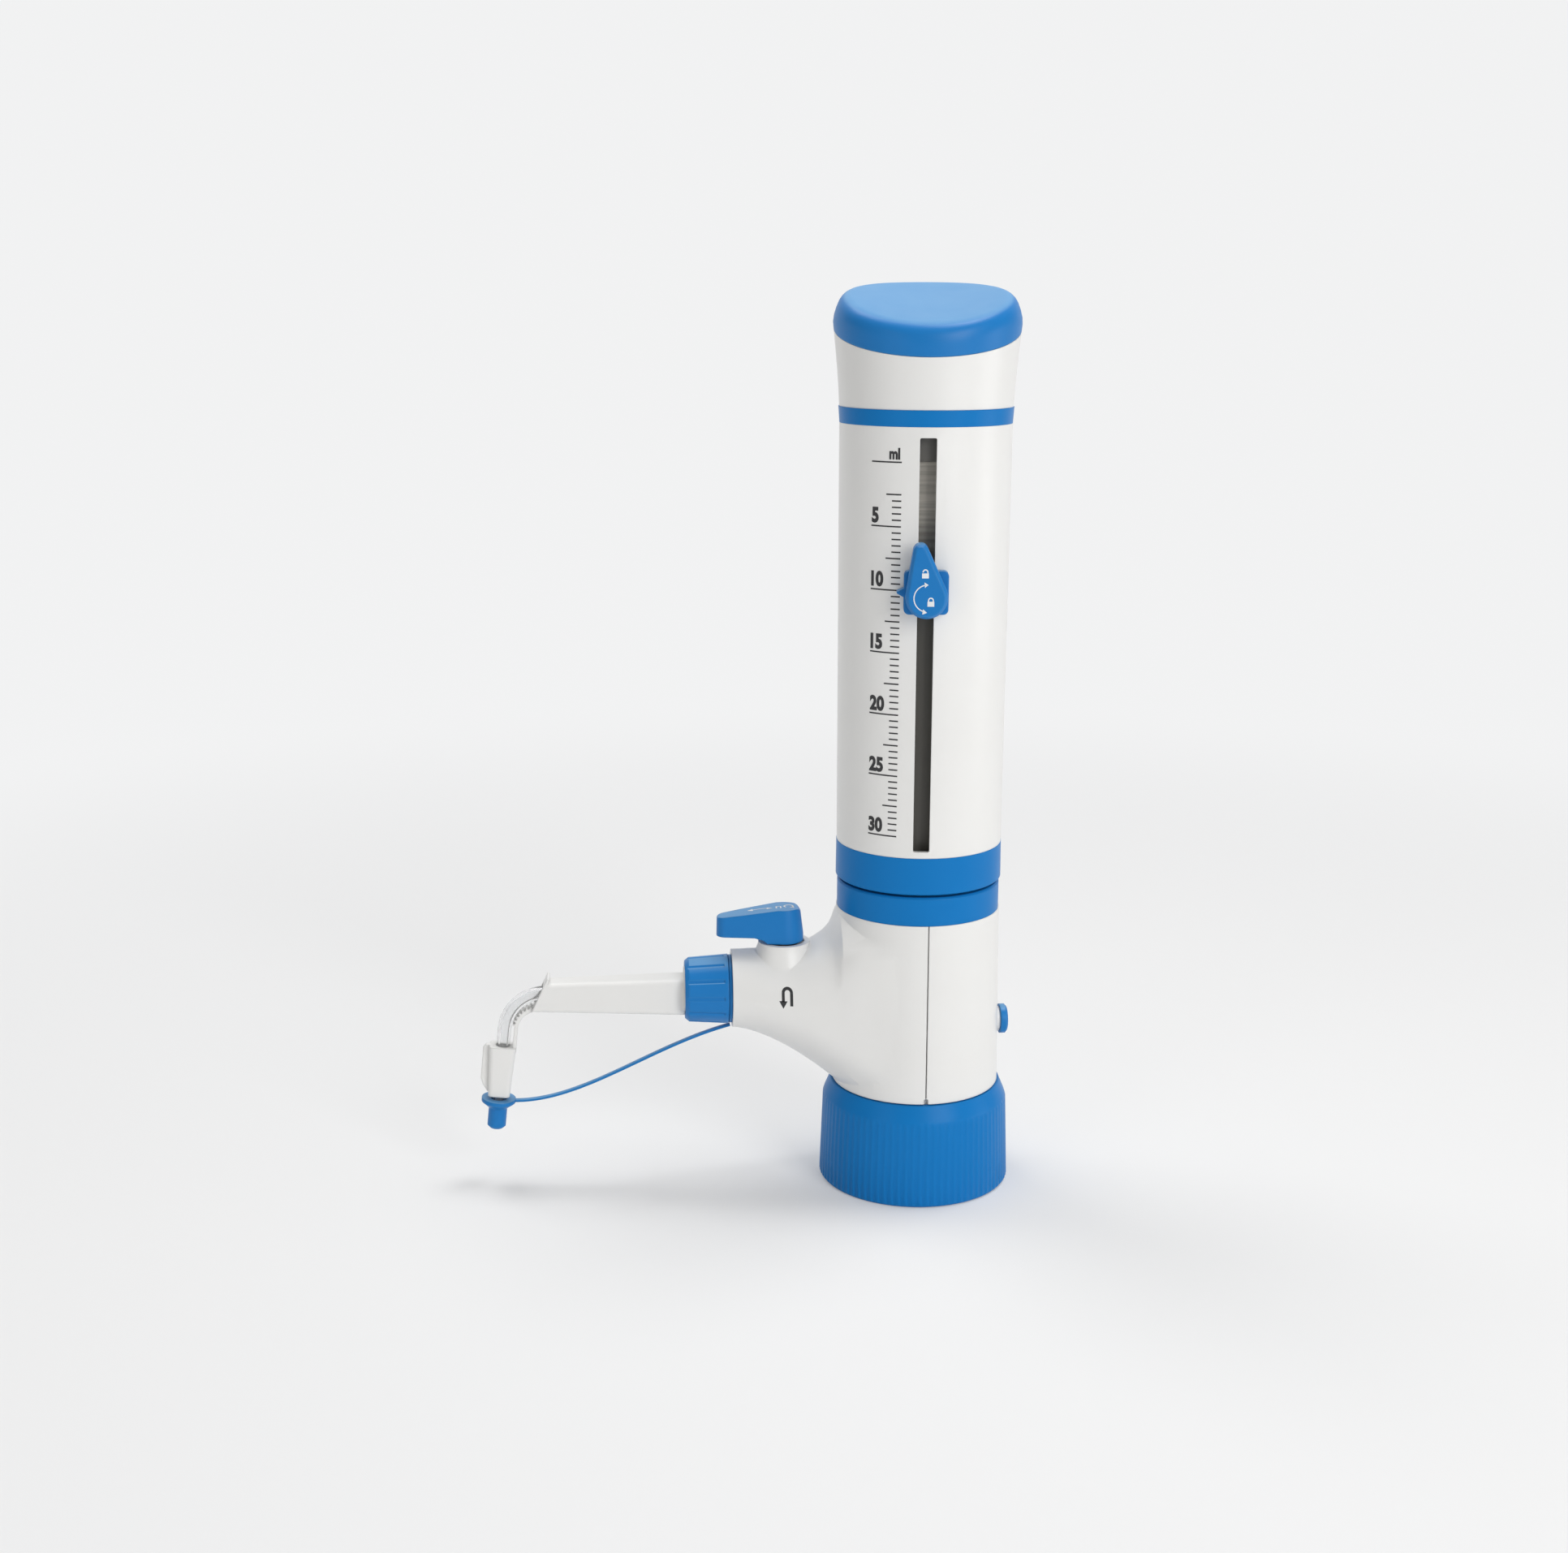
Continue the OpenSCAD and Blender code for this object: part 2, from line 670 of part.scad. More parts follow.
module suction_nipple() {
    color(natural)
    translate([suction_off, 0, 0])
    difference() {
        union() {
            translate([0, 0, flange_z0 - 0.6])
                cylinder(h = 6.6, r = suction_nipple_r);
            translate([0, 0, flange_z0 + 6])
                cylinder(h = block_ceiling - flange_z0 - 6, r = 4.7, $fn = 6);
            translate([0, 0, block_ceiling])
                cylinder(h = 1.9, r = 2 - fit_gap);
        }
        translate([0, 0, flange_z0 - 2])
            cylinder(h = 30, r = 1.4);
    }
}

module return_nipple() {
    color(natural)
    translate([-5.5, 9.2, 0])
    difference() {
        union() {
            translate([0, 0, flange_z0 - 0.6])
                cylinder(h = block_ceiling + 3 - flange_z0 + 0.6, r = return_nipple_r);
            translate([0, 0, block_ceiling - 1.6])
                cylinder(h = 1.6, r = 2.4);
        }
        translate([0, 0, flange_z0 - 2])
            cylinder(h = 40, r = 1);
    }
}

// Discharge side

module discharge_valve() {
    color(steel)
    translate([-discharge_off, 0, block_ceiling])
    difference() {
        cylinder(h = cartridge_h, r = cartridge_r - fit_gap);
        translate([0, 0, 17.5])
            cylinder(h = 20, r = 1.5);
        translate([0, 0, 22])
            cylinder(h = 8, r = ball_r + 0.12);
        translate([0, 0, 42 - block_ceiling])
            rotate([0, 90, 0])
                cylinder(h = 12, r = 1.5);
    }
}

module discharge_ball() {
    color(clear)
    translate([-discharge_off, 0, block_ceiling + 22 + sqrt(ball_r * ball_r - 1.5 * 1.5) + 0.02])
        sphere(r = ball_r);
}

// Recirculation valve: spindle with a cross bore, its seal and the blue lever

module valve_spindle() {
    color(natural)
    difference() {
        translate([-boss_reach, 0, snout_z - spindle_drop])
            cylinder(h = boss_top_z + 5 - snout_z + spindle_drop, r = spindle_r);
        rod_x(boss_reach - 6, boss_reach + 6, channel_r, channel_r, snout_z);
    }
}

module spindle_seal() {
    color(black)
    translate([-boss_reach, 0, 0])
        tube_between(4.4 - fit_gap, spindle_r + fit_gap, boss_top_z - 3.2, boss_top_z - 0.6);
}

module valve_lever() {
    z0 = boss_top_z + run_gap;
    far = tap_reach - tap_tip_r;
    color(blue)
    difference() {
        intersection() {
            hull() {
                translate([-boss_reach, 0, z0])
                    cylinder(h = 2, r = tap_r);
                translate([-boss_reach, 0, z0 + tap_h + 1])
                    cylinder(h = 0.1, r = tap_r - 1.1);
                translate([-boss_reach - far, 0, z0])
                    cylinder(h = 2, r = tap_tip_r);
                translate([-boss_reach - far - 0.2, 0, z0 + tap_h + 1])
                    cylinder(h = 0.1, r = tap_tip_r - 0.4);
            }
            translate([-boss_reach, 10, z0])
                rotate([90, 0, 0])
                    linear_extrude(height = 20)
                        polygon([[tap_r + 1, 0], [-tap_r + 0.6, 0], [-tap_r - 0.6, tap_under * 0.6],
                            [-tap_r - 3.2, tap_under],
                            [-tap_reach - 1, tap_under], [-tap_reach - 1, tap_under + tap_arm_h - 0.9],
                            [-tap_reach + 0.8, tap_under + tap_arm_h],
                            [-2, tap_h], [3.4, tap_h], [4.2, tap_h - 0.3], [tap_r + 1, tap_h - 3.5]]);
        }
        translate([-boss_reach, 0, z0 - 1])
            cylinder(h = 6.1, r = spindle_r + fit_gap);
    }
}

// Pump cylinder, its holder and the guard tube

module glass_cylinder() {
    color(clear)
        tube_between(glass_r, glass_bore_r, glass_z0, glass_z1);
}

module cylinder_seal() {
    color(black)
        tube_between(glass_r, glass_bore_r + 0.1, pocket_z, glass_z0);
}

module lower_ring() {
    color(blue)
    difference() {
        union() {
            translate([0, 0, body_top_z])
                cylinder(h = ring_h - ring_edge, r = ring_r);
            translate([0, 0, ring_z1 - ring_edge])
                cylinder(h = ring_edge, r1 = ring_r, r2 = ring_r - ring_edge);
            translate([0, 0, body_top_z - 2.5])
                cylinder(h = 3, r = body_bore_r - fit_gap);
        }
        translate([0, 0, body_top_z - 5])
            cylinder(h = 5 + eps, r = block_r + fit_gap);
        translate([0, 0, body_top_z - 1])
            cylinder(h = 20, r = glass_r + fit_gap);
        translate([0, 0, guard_z0])
            cylinder(h = 20, r = guard_r + fit_gap);
    }
}

module guard_tube() {
    color(dark)
        tube_between(guard_r, guard_bore_r, guard_z0, stop_z0);
}

module rod_guide() {
    color(dark)
    difference() {
        union() {
            translate([0, 0, stop_z0])
                cylinder(h = stop_t, r = stop_ring_r);
            translate([0, 0, glass_z1])
                cylinder(h = stop_z0 - glass_z1 + eps, r = guard_bore_r - fit_gap);
        }
        translate([0, 0, glass_z1 - 1])
            cylinder(h = 20, r = rod_r + fit_gap);
    }
}

// Piston, rod and the plate that ties the rod to the sleeve

module piston() {
    color(natural)
    difference() {
        translate([0, 0, piston_z0])
            cylinder(h = piston_h, r = piston_r);
        tube_between(piston_r + 1, piston_r - 2, groove_z0, groove_z1);
        translate([0, 0, piston_z0 + 3])
            cylinder(h = piston_h, r = 3.05);
    }
}

module piston_seal() {
    color(white)
        tube_between(glass_bore_r - 0.02, piston_r - 2 + fit_gap, groove_z0 + fit_gap, groove_z1 - fit_gap);
}

module piston_rod() {
    color(steel)
    union() {
        translate([0, 0, piston_z0 + 3.2])
            cylinder(h = piston_h - 3.2 + eps, r = 3);
        translate([0, 0, piston_z1])
            cylinder(h = plate_z0 - piston_z1, r = rod_r);
        translate([0, 0, plate_z0 - eps])
            cylinder(h = plate_t + 6, r = stud_r);
    }
}

module rod_nut() {
    color(steel)
    difference() {
        translate([0, 0, plate_z1])
            cylinder(h = 4.6, r = stud_r + 3.2, $fn = 6);
        translate([0, 0, plate_z1 - 1])
            cylinder(h = 10, r = stud_r + fit_gap);
    }
}

module head_plate() {
    color(dark)
    tube_between(plate_r - fit_gap, stud_r + fit_gap, plate_z0, plate_z1);
}

// Sleeve with the slot of the volume slider, and its two blue rings

module sleeve() {
    color(white)
    at_sleeve()
    difference() {
        union() {
            translate([0, 0, skirt_z1])
                cylinder(h = sleeve_h, r1 = sleeve_foot_r, r2 = sleeve_top_r);
            translate([0, 0, skirt_z0 + 1.2])
                cylinder(h = skirt_h, r = sleeve_low_r);
        }
        translate([0, 0, skirt_z0 - 1])
            cylinder(h = 200, r = sleeve_bore_r);
        translate([0, -sleeve_bore_r, slot_z0 + slot_h / 2])
            rotate([90, 0, 0])
                linear_extrude(height = sleeve_bore_r / 2, center = true)
                    rounded_slab(slot_w, slot_h, 0.5);
    }
}

module skirt_ring() {
    color(blue)
    difference() {
        union() {
            translate([0, 0, skirt_z0])
                cylinder(h = ring_edge, r1 = skirt_r - ring_edge, r2 = skirt_r + 0.1);
            translate([0, 0, skirt_z0 + ring_edge])
                cylinder(h = skirt_h - ring_edge, r1 = skirt_r + 0.1, r2 = skirt_r);
        }
        translate([0, 0, skirt_z0 - 1])
            cylinder(h = 20, r = sleeve_bore_r);
        translate([0, 0, skirt_z0 + 1.15])
            cylinder(h = 20, r = sleeve_low_r + fit_gap);
    }
}

module accent_ring() {
    color(blue)
    difference() {
        union() {
            translate([0, 0, sleeve_z1])
                cylinder(h = accent_h, r1 = sleeve_top_r, r2 = accent_top_r);
            translate([0, 0, sleeve_z1 - 2])
                cylinder(h = 3, r = sleeve_bore_r - fit_gap);
        }
        translate([0, 0, sleeve_z1 - 3])
            cylinder(h = 20, r = stop_ring_r + 0.7);
        translate([0, 0, plate_z0])
            cylinder(h = 20, r = plate_r);
    }
}

// Head: one turned form, parted by a sloped plane into white shell and blue thumb cap

function head_r(t) = head_foot_r + (head_wide_r - head_foot_r) * pow(t, 1.35);

function head_side(h) = h <= head_wide_h ? head_r(h / head_wide_h)
    : head_wide_r - cap_draw * pow((h - head_wide_h) / 8, 1.7);

module head_form() {
    rotate_extrude()
        polygon(concat(
            [[0, 0]],
            [for (i = [0 : 10]) [head_side(head_wide_h * i / 10), head_wide_h * i / 10]],
            [for (i = [1 : 4]) [head_side(head_wide_h + 1.6 * i), head_wide_h + 1.6 * i]],
            [[0, head_wide_h + 6.4]]));
}

module above_join(lift) {
    translate([0, 0, join_h + lift])
        rotate([join_slope, 0, 0])
            translate([-50, -50, 0])
                cube([100, 100, 60]);
}

module head_shell() {
    color(white)
    at_sleeve()
    translate([0, 0, accent_z1])
    difference() {
        head_form();
        above_join(0);
        translate([0, 0, 2.2])
            cylinder(h = 50, r = head_bore_r);
        translate([0, 0, -1])
            cylinder(h = 5, r = plate_r - 1.2);
    }
}

// Thumb cap: its side, its hollowed top and the rounding between them, turn by turn from the front
function dish_h(r, t) =
    dish_mid - r * cos(t) * tan(dish_lean) + dish_bow * pow(r * sin(t) / head_wide_r, 2);
function join_at(t, n, h) =
    n == 0 ? h : join_at(t, n - 1, join_h + fit_gap - head_side(h) * cos(t) * tan(join_slope));
function rim_at(t, n, h) = n == 0 ? h : rim_at(t, n - 1, dish_h(head_side(h), t));
function rim_soft(t) =
    rim_round + (rim_round_front - rim_round) * pow((1 + cos(t)) / 2, 2);

// One upright line of the skin: five points up the side, five round the rim, three on the hollow
function cap_line(t) =
    let (h0 = join_at(t, 8, join_h), h1 = rim_at(t, 8, dish_mid), r1 = head_side(h1),
        soft = rim_soft(t), r2 = r1 - soft)
    concat(
        [for (i = [0 : 4]) let (h = h0 + (h1 - soft - h0) * i / 4) [head_side(h), h]],
        [for (i = [1 : 5]) let (u = i / 5)
            pow(1 - u, 2) * [head_side(h1 - soft), h1 - soft] + 2 * u * (1 - u) * [r1, h1]
            + u * u * [r2, dish_h(r2, t)]],
        [for (i = [3, 2, 1]) [r2 * i / 4, dish_h(r2 * i / 4, t)]]);

module cap_skin() {
    n = 60;
    rows = 13;
    pts = concat(
        [for (i = [0 : n - 1], p = cap_line(i * 360 / n))
            [p[0] * sin(i * 360 / n), -p[0] * cos(i * 360 / n), p[1]]],
        [[0, 0, join_h + fit_gap], [0, 0, dish_mid]]);
    sides = [for (i = [0 : n - 1], k = [0 : rows - 2], half = [0, 1])
        let (a = i * rows + k, b = ((i + 1) % n) * rows + k)
        half == 0 ? [a, a + 1, b + 1] : [a, b + 1, b]];
    foot = [for (i = [0 : n - 1]) [n * rows, i * rows, ((i + 1) % n) * rows]];
    top = [for (i = [0 : n - 1])
        [n * rows + 1, ((i + 1) % n) * rows + rows - 1, i * rows + rows - 1]];
    polyhedron(points = pts, faces = concat(sides, foot, top), convexity = 4);
}

module head_cap() {
    color(blue)
    at_sleeve()
    translate([0, 0, accent_z1])
    difference() {
        union() {
            cap_skin();
            difference() {
                translate([0, 0, 9])
                    cylinder(h = 25, r = head_bore_r - fit_gap);
                above_join(1.5);
            }
        }
        difference() {
            translate([0, 0, 8])
                cylinder(h = 30, r = head_bore_r - 1.6);
            translate([0, 0, dish_mid - 2.8])
                rotate([dish_lean, 0, 0])
                    translate([-50, -50, 0])
                        cube([100, 100, 60]);
        }
    }
}

// Volume slider: block in front of the slot, stop dog behind it, clamped by the lock lever

module slider_block() {
    color(blue)
    difference() {
        on_front(dog_out_r + fit_gap, slider_z)
            linear_extrude(height = slider_front - dog_out_r - fit_gap)
                union() {
                    rounded_slab(slider_w, slider_h, slider_corner_r);
                    polygon([[-slider_w / 2 + 0.5, 1.5], [-slider_w / 2 - pointer_len, 0.2],
                        [-slider_w / 2 - pointer_len, -0.2], [-slider_w / 2 + 0.5, -1.5]]);
                }
        difference() {
            translate([0, 0, slider_z - slider_h])
                cylinder(h = 2 * slider_h, r = slider_back);
            on_front(dog_out_r + 0.3, slider_z)
                linear_extrude(height = 10)
                    square([slider_neck_w, slider_neck_h], center = true);
        }
        on_front(20, lock_z)
            cylinder(h = 10, r = clamp_r + fit_gap);
    }
}

module clamp_shaft() {
    color(steel)
    on_front(dog_in_r, lock_z)
        cylinder(h = lock_z0 + lock_t - 1.8 - dog_in_r, r = clamp_r);
}

module stop_dog() {
    color(dark)
    difference() {
        intersection() {
            translate([0, 0, slider_z - 5])
                tube_between(dog_out_r, dog_in_r, 0, 10);
            on_front(15, slider_z)
                linear_extrude(height = 20)
                    rounded_slab(11, 9, 1);
        }
        on_front(15, lock_z)
            cylinder(h = 15, r = clamp_r + fit_gap);
    }
}

module lock_lever() {
    color(blue)
    on_front(lock_z0, lock_z)
    difference() {
        hull() {
            cylinder(h = 1, r = lock_r);
            translate([0, 0, lock_t - 1.2])
                cylinder(h = 1.2, r1 = lock_r, r2 = lock_r - 0.8);
            rotate([0, 0, lock_lean]) {
                translate([0, lock_len, 0.4])
                    cylinder(h = 1, r = lock_tip_r);
                translate([0, lock_len - 0.2, lock_t - 1])
                    cylinder(h = 1, r1 = lock_tip_r, r2 = lock_tip_r - 0.7);
            }
        }
        translate([0, 0, -1])
            cylinder(h = lock_t - 0.5, r = clamp_r + fit_gap);
    }
}

// Union nut, shroud, clear tube and the clip at its end

module union_nut() {
    mid = (nut_x0 + nut_x1) / 2;
    color(blue)
    difference() {
        union() {
            rod_x(nut_x0, nut_x1 - 1.2, nut_r, nut_end_r + 0.1, snout_z);
            rod_x(nut_x1 - 1.2, nut_x1, nut_end_r + 0.1, nut_end_r - 0.9, snout_z);
        }
        rod_x(nut_x0 - 1, nut_x1 - nut_wall, neck_r + fit_gap, neck_r + fit_gap, snout_z);
        rod_x(nut_x0, nut_x1 + 1, nut_hole_r, nut_hole_r, snout_z);
        for (i = [0 : nut_grooves - 1])
            translate([-mid - 1.2, 0, snout_z])
                rotate([i * 360 / nut_grooves, 0, 0])
                    translate([0, 0, (nut_r + nut_end_r) / 2 + 0.4])
                        rotate([0, 90 - nut_lean, 0])
                            cylinder(h = nut_x1 - nut_x0, r = 0.8, center = true, $fn = 16);
    }
}

// Leaning plane that trims the shroud's open end
module at_shroud_end() {
    translate([-shroud_x1 - 3.8, 0, shroud_end_z - 4.4])
        rotate([0, shroud_lean, 0])
            children();
}

module shroud_form(cut, x0, x1) {
    hull() {
        translate([-x0, 0, shroud_z])
            rotate([90, 0, -90])
                linear_extrude(height = 0.1)
                    rounded_slab(2 * (shroud_w - cut), shroud_h - 2 * cut, 1.5 - cut);
        translate([-x1, 0, shroud_end_z])
            rotate([90, 0, -90])
                linear_extrude(height = 0.1)
                    rounded_slab(2 * (shroud_end_w - cut), shroud_end_h - 2 * cut, 1.5 - cut);
    }
}

module nozzle_shroud() {
    color(white)
    union() {
        difference() {
            union() {
                shroud_form(0, nut_x1 + 0.1, shroud_x1 + 4);
                rod_x(neck_x1 + 1.2, nut_x1 - nut_wall, neck_r - 0.3, neck_r - 0.3, snout_z);
                rod_x(neck_x1 + 1.2, nut_x1 + 0.3, nut_hole_r - 0.1, nut_hole_r - 0.1, snout_z);
            }
            shroud_form(shroud_wall, nut_x1 + 1.2, shroud_x1 + 5);
            rod_x(neck_x1, nut_x1 + 3, tube_r + fit_gap, tube_r + fit_gap, snout_z);
            at_shroud_end()
                translate([-20, -20, -20])
                    cube([20, 40, 60]);
        }
        at_shroud_end()
            translate([0, 0.3 - shroud_end_w, (shroud_end_h - shroud_wall) / cos(shroud_lean)])
                cube([0.8, 2 * shroud_end_w - 0.6, 3]);
        spine();
        difference() {
            tube_clip();
            on_leg()
                cylinder(h = leg_len, r = tube_r + fit_gap);
        }
    }
}

// Toothed strip that runs on from the shroud's floor round the inside of the bend
module spine() {
    deep = 2 * shroud_end_w - 3.4;
    color(white)
    translate([-spine_x, deep / 2, spine_z])
        rotate([90, 0, 0])
            linear_extrude(height = deep)
                difference() {
                    union() {
                        circle(r = spine_r + spine_t / 2);
                        for (i = [0 : 7])
                            rotate(96 + i * 10)
                                translate([spine_r + spine_t / 2, 0])
                                    square([1.1, 0.6], center = true);
                    }
                    circle(r = spine_r - spine_t / 2);
                    translate([0, -30])
                        square([60, 60]);
                    rotate(-leg_lean)
                        translate([-30, -30])
                            square([60, 30]);
                }
    translate([-spine_x - eps, -deep / 2, spine_z + spine_r - spine_t / 2])
        cube([4, deep, spine_t]);
    on_leg()
        translate([-spine_off - spine_t / 2, -deep / 2, -spine_lead])
            cube([spine_t, deep, clip_start + 1.5 + spine_lead]);
}

// Clip at the tube's tip, with a thin tab on its outer side
module tube_clip() {
    on_leg()
        translate([0, 0, clip_start])
            union() {
                hull() {
                    linear_extrude(height = 0.1)
                        rounded_slab(7.9, 6.6, 1.4);
                    translate([0, 0, clip_len - 0.1])
                        linear_extrude(height = 0.1)
                            rounded_slab(6.4, 6, 1.4);
                }
                translate([0, 0.8, 0])
                    rotate([90, 0, 0])
                        linear_extrude(height = 1.6)
                            polygon([[3, 0], [5, 0], [5.8, 0.9], [5.8, clip_len - 5],
                                [5, clip_len - 3], [3.6, clip_len - 1], [2.6, clip_len - 1]]);
            }
}

// Clear tube: one pipe skin along the straight run, the bend and the leg
function tube_ring(x, z, turn, r) = [
    for (i = [0 : tube_sides - 1])
        let (a = i * 360 / tube_sides)
        [x - r * cos(a) * sin(turn), r * sin(a), z + r * cos(a) * cos(turn)]];

module discharge_tube() {
    n = tube_sides;
    sweep = 90 - leg_lean;
    steps = 10;
    way = concat(
        [[-neck_x1 + 6, snout_z, 0]],
        [for (i = [0 : steps])
            let (t = sweep * i / steps)
            [-bend_x - bend_r * sin(t), bend_z + bend_r * cos(t), t]],
        [[-tip_x, tip_z, sweep]]);
    last = len(way) - 1;
    pts = [for (w = way, r = [tube_r, tube_bore_r], p = tube_ring(w[0], w[1], w[2], r)) p];
    outer = [for (k = [0 : last - 1], i = [0 : n - 1])
        let (j = (i + 1) % n, c = 2 * n * k, d = c + 2 * n)
        [c + i, c + j, d + j, d + i]];
    inner = [for (k = [0 : last - 1], i = [0 : n - 1])
        let (j = (i + 1) % n, c = 2 * n * k + n, d = c + 2 * n)
        [c + j, c + i, d + i, d + j]];
    ends = [for (i = [0 : n - 1], e = [0, 1])
        let (j = (i + 1) % n, c = 2 * n * last * e)
        e == 0 ? [c + i, c + n + i, c + n + j, c + j] : [c + j, c + n + j, c + n + i, c + i]];
    color(clear)
        polyhedron(points = pts, faces = concat(outer, inner, ends), convexity = 6);
}

// Ferrule that the union nut presses against the neck, over the tube's end
module tube_ferrule() {
    color(natural)
    difference() {
        rod_x(neck_x1 + fit_gap, neck_x1 + 1.15, 5, 5, snout_z);
        rod_x(neck_x1 - 1, neck_x1 + 2, tube_r + fit_gap, tube_r + fit_gap, snout_z);
    }
}

// Tip cap, its strap and the strap's ring on the neck

module tip_cap() {
    color(blue)
    on_leg()
        translate([0, 0, leg_len - cap_back])
            difference() {
                union() {
                    cylinder(h = 1.1, r = tip_flange_r);
                    translate([0, 0, 1.1])
                        cylinder(h = 1.9, r1 = tip_flange_r, r2 = tip_stem_r);
                    translate([0, 0, 2.9])
                        cylinder(h = tip_len - 2.9 - 0.8, r = tip_stem_r);
                    translate([0, 0, tip_len - 0.8])
                        cylinder(h = 0.8, r1 = tip_stem_r, r2 = tip_stem_r - 0.8);
                }
                translate([0, 0, -1])
                    cylinder(h = 1 + cap_back + 0.4, r = tube_r + fit_gap);
                translate([0, 0, -eps])
                    cylinder(h = 0.6, r1 = tube_r + 0.6, r2 = tube_r + fit_gap);
            }
}

strap_p0 = cap_edge + [run_gap, 0];
strap_p3 = [-snout_reach - ring_tab_t / 2, snout_z - nut_r - 1.1];
strap_span = strap_p3[0] - strap_p0[0];
strap_p1 = strap_p0 + strap_span * strap_foot_pull * [cos(2), -sin(2)];
strap_p2 = strap_p3 - strap_span * strap_head_pull * [cos(14.7), sin(14.7)];

function strap_at(t) =
    pow(1 - t, 3) * strap_p0 + 3 * t * pow(1 - t, 2) * strap_p1
    + 3 * t * t * (1 - t) * strap_p2 + pow(t, 3) * strap_p3;
function strap_dir(t) =
    let (a = strap_at(t + 0.005), b = strap_at(t - 0.005)) (a - b) / norm(a - b);
function strap_edge(t, s) =
    let (p = strap_at(t), d = strap_dir(t)) [p[0] - s * d[1], p[1] + s * d[0]];

module cap_strap() {
    n = 24;
    color(blue)
    union() {
        translate([0, strap_w / 2, 0])
            rotate([90, 0, 0])
                linear_extrude(height = strap_w)
                    polygon(concat(
                        [for (i = [0 : n]) strap_edge(i / n, strap_t / 2)],
                        [for (i = [n : -1 : 0]) strap_edge(i / n, -strap_t / 2)]));
        difference() {
            union() {
                rod_x(snout_reach, snout_reach + ring_tab_t, nut_r - 0.2, nut_r - 0.2, snout_z);
                translate([-snout_reach - ring_tab_t, -strap_w / 2, snout_z - nut_r - 1.6])
                    cube([ring_tab_t, strap_w, 4]);
            }
            rod_x(snout_reach - 1, snout_reach + 3, neck_r + 0.2, neck_r + 0.2, snout_z);
        }
    }
}

module vent_plug() {
    color(blue)
    translate([vent_boss_x + fit_gap, 0, vent_z])
        rotate([0, 90, 0])
            union() {
                cylinder(h = plug_t - 0.6, r = plug_r);
                translate([0, 0, plug_t - 0.6])
                    cylinder(h = 0.6, r1 = plug_r, r2 = plug_r - 0.7);
                translate([0, 0, -4])
                    cylinder(h = 4.1, r = plug_stem_r);
            }
}

bottle_collar();
housing_front();
housing_rear();
valve_block();
foot_flange();
bottle_seal();
suction_valve();
suction_ball();
suction_nipple();
return_nipple();
discharge_valve();
discharge_ball();
valve_spindle();
spindle_seal();
valve_lever();
glass_cylinder();
cylinder_seal();
lower_ring();
guard_tube();
rod_guide();
piston();
piston_seal();
piston_rod();
rod_nut();
head_plate();
sleeve();
skirt_ring();
accent_ring();
head_shell();
head_cap();
slider_block();
clamp_shaft();
stop_dog();
lock_lever();
union_nut();
nozzle_shroud();
discharge_tube();
tube_ferrule();
tip_cap();
cap_strap();
vent_plug();
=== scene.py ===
import bpy
import bmesh
import math
from mathutils import Matrix, Vector
from mathutils.bvhtree import BVHTree


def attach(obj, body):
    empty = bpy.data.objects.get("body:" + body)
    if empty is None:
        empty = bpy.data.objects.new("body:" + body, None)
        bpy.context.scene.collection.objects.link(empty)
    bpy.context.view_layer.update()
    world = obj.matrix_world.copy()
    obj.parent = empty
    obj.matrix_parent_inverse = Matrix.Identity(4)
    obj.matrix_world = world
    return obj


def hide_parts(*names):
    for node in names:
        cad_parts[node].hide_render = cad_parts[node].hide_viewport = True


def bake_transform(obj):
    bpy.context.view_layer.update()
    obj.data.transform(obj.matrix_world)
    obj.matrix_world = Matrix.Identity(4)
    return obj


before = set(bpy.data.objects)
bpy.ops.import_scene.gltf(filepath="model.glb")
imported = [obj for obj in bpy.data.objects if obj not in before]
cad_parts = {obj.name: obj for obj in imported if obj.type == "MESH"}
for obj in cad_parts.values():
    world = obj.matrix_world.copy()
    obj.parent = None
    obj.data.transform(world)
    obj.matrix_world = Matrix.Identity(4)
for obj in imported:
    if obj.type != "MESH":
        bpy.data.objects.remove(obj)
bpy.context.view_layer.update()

# The camera stands where the photographer's stood: a little to the nozzle's side of the seam,
# level with the thumb cap and tilted down, so the collar is seen from above. Place and lens come
# from the edges of the collar, the rings and the sleeve.
mm = 0.001
camera_place = (-86.1 * mm, -588.6 * mm, 260.7 * mm)
camera_turn = -4.5
camera_tilt = 13.07
camera_roll = 0.17
photo_camera = bpy.data.cameras.new("photo_camera")
photo_camera.lens = 47.78
photo_camera.sensor_width = 36.0
photo_camera.clip_start = 0.01
camera_stand = bpy.data.objects.new("photo_camera", photo_camera)
bpy.context.scene.collection.objects.link(camera_stand)
camera_stand.matrix_world = (
    Matrix.Translation(camera_place)
    @ Matrix.Rotation(math.radians(camera_turn), 4, "Z")
    @ Matrix.Rotation(math.radians(90 - camera_tilt), 4, "X")
    @ Matrix.Rotation(math.radians(camera_roll), 4, "Z")
)
bpy.context.scene.camera = camera_stand
bpy.context.scene.view_settings.view_transform = "Standard"

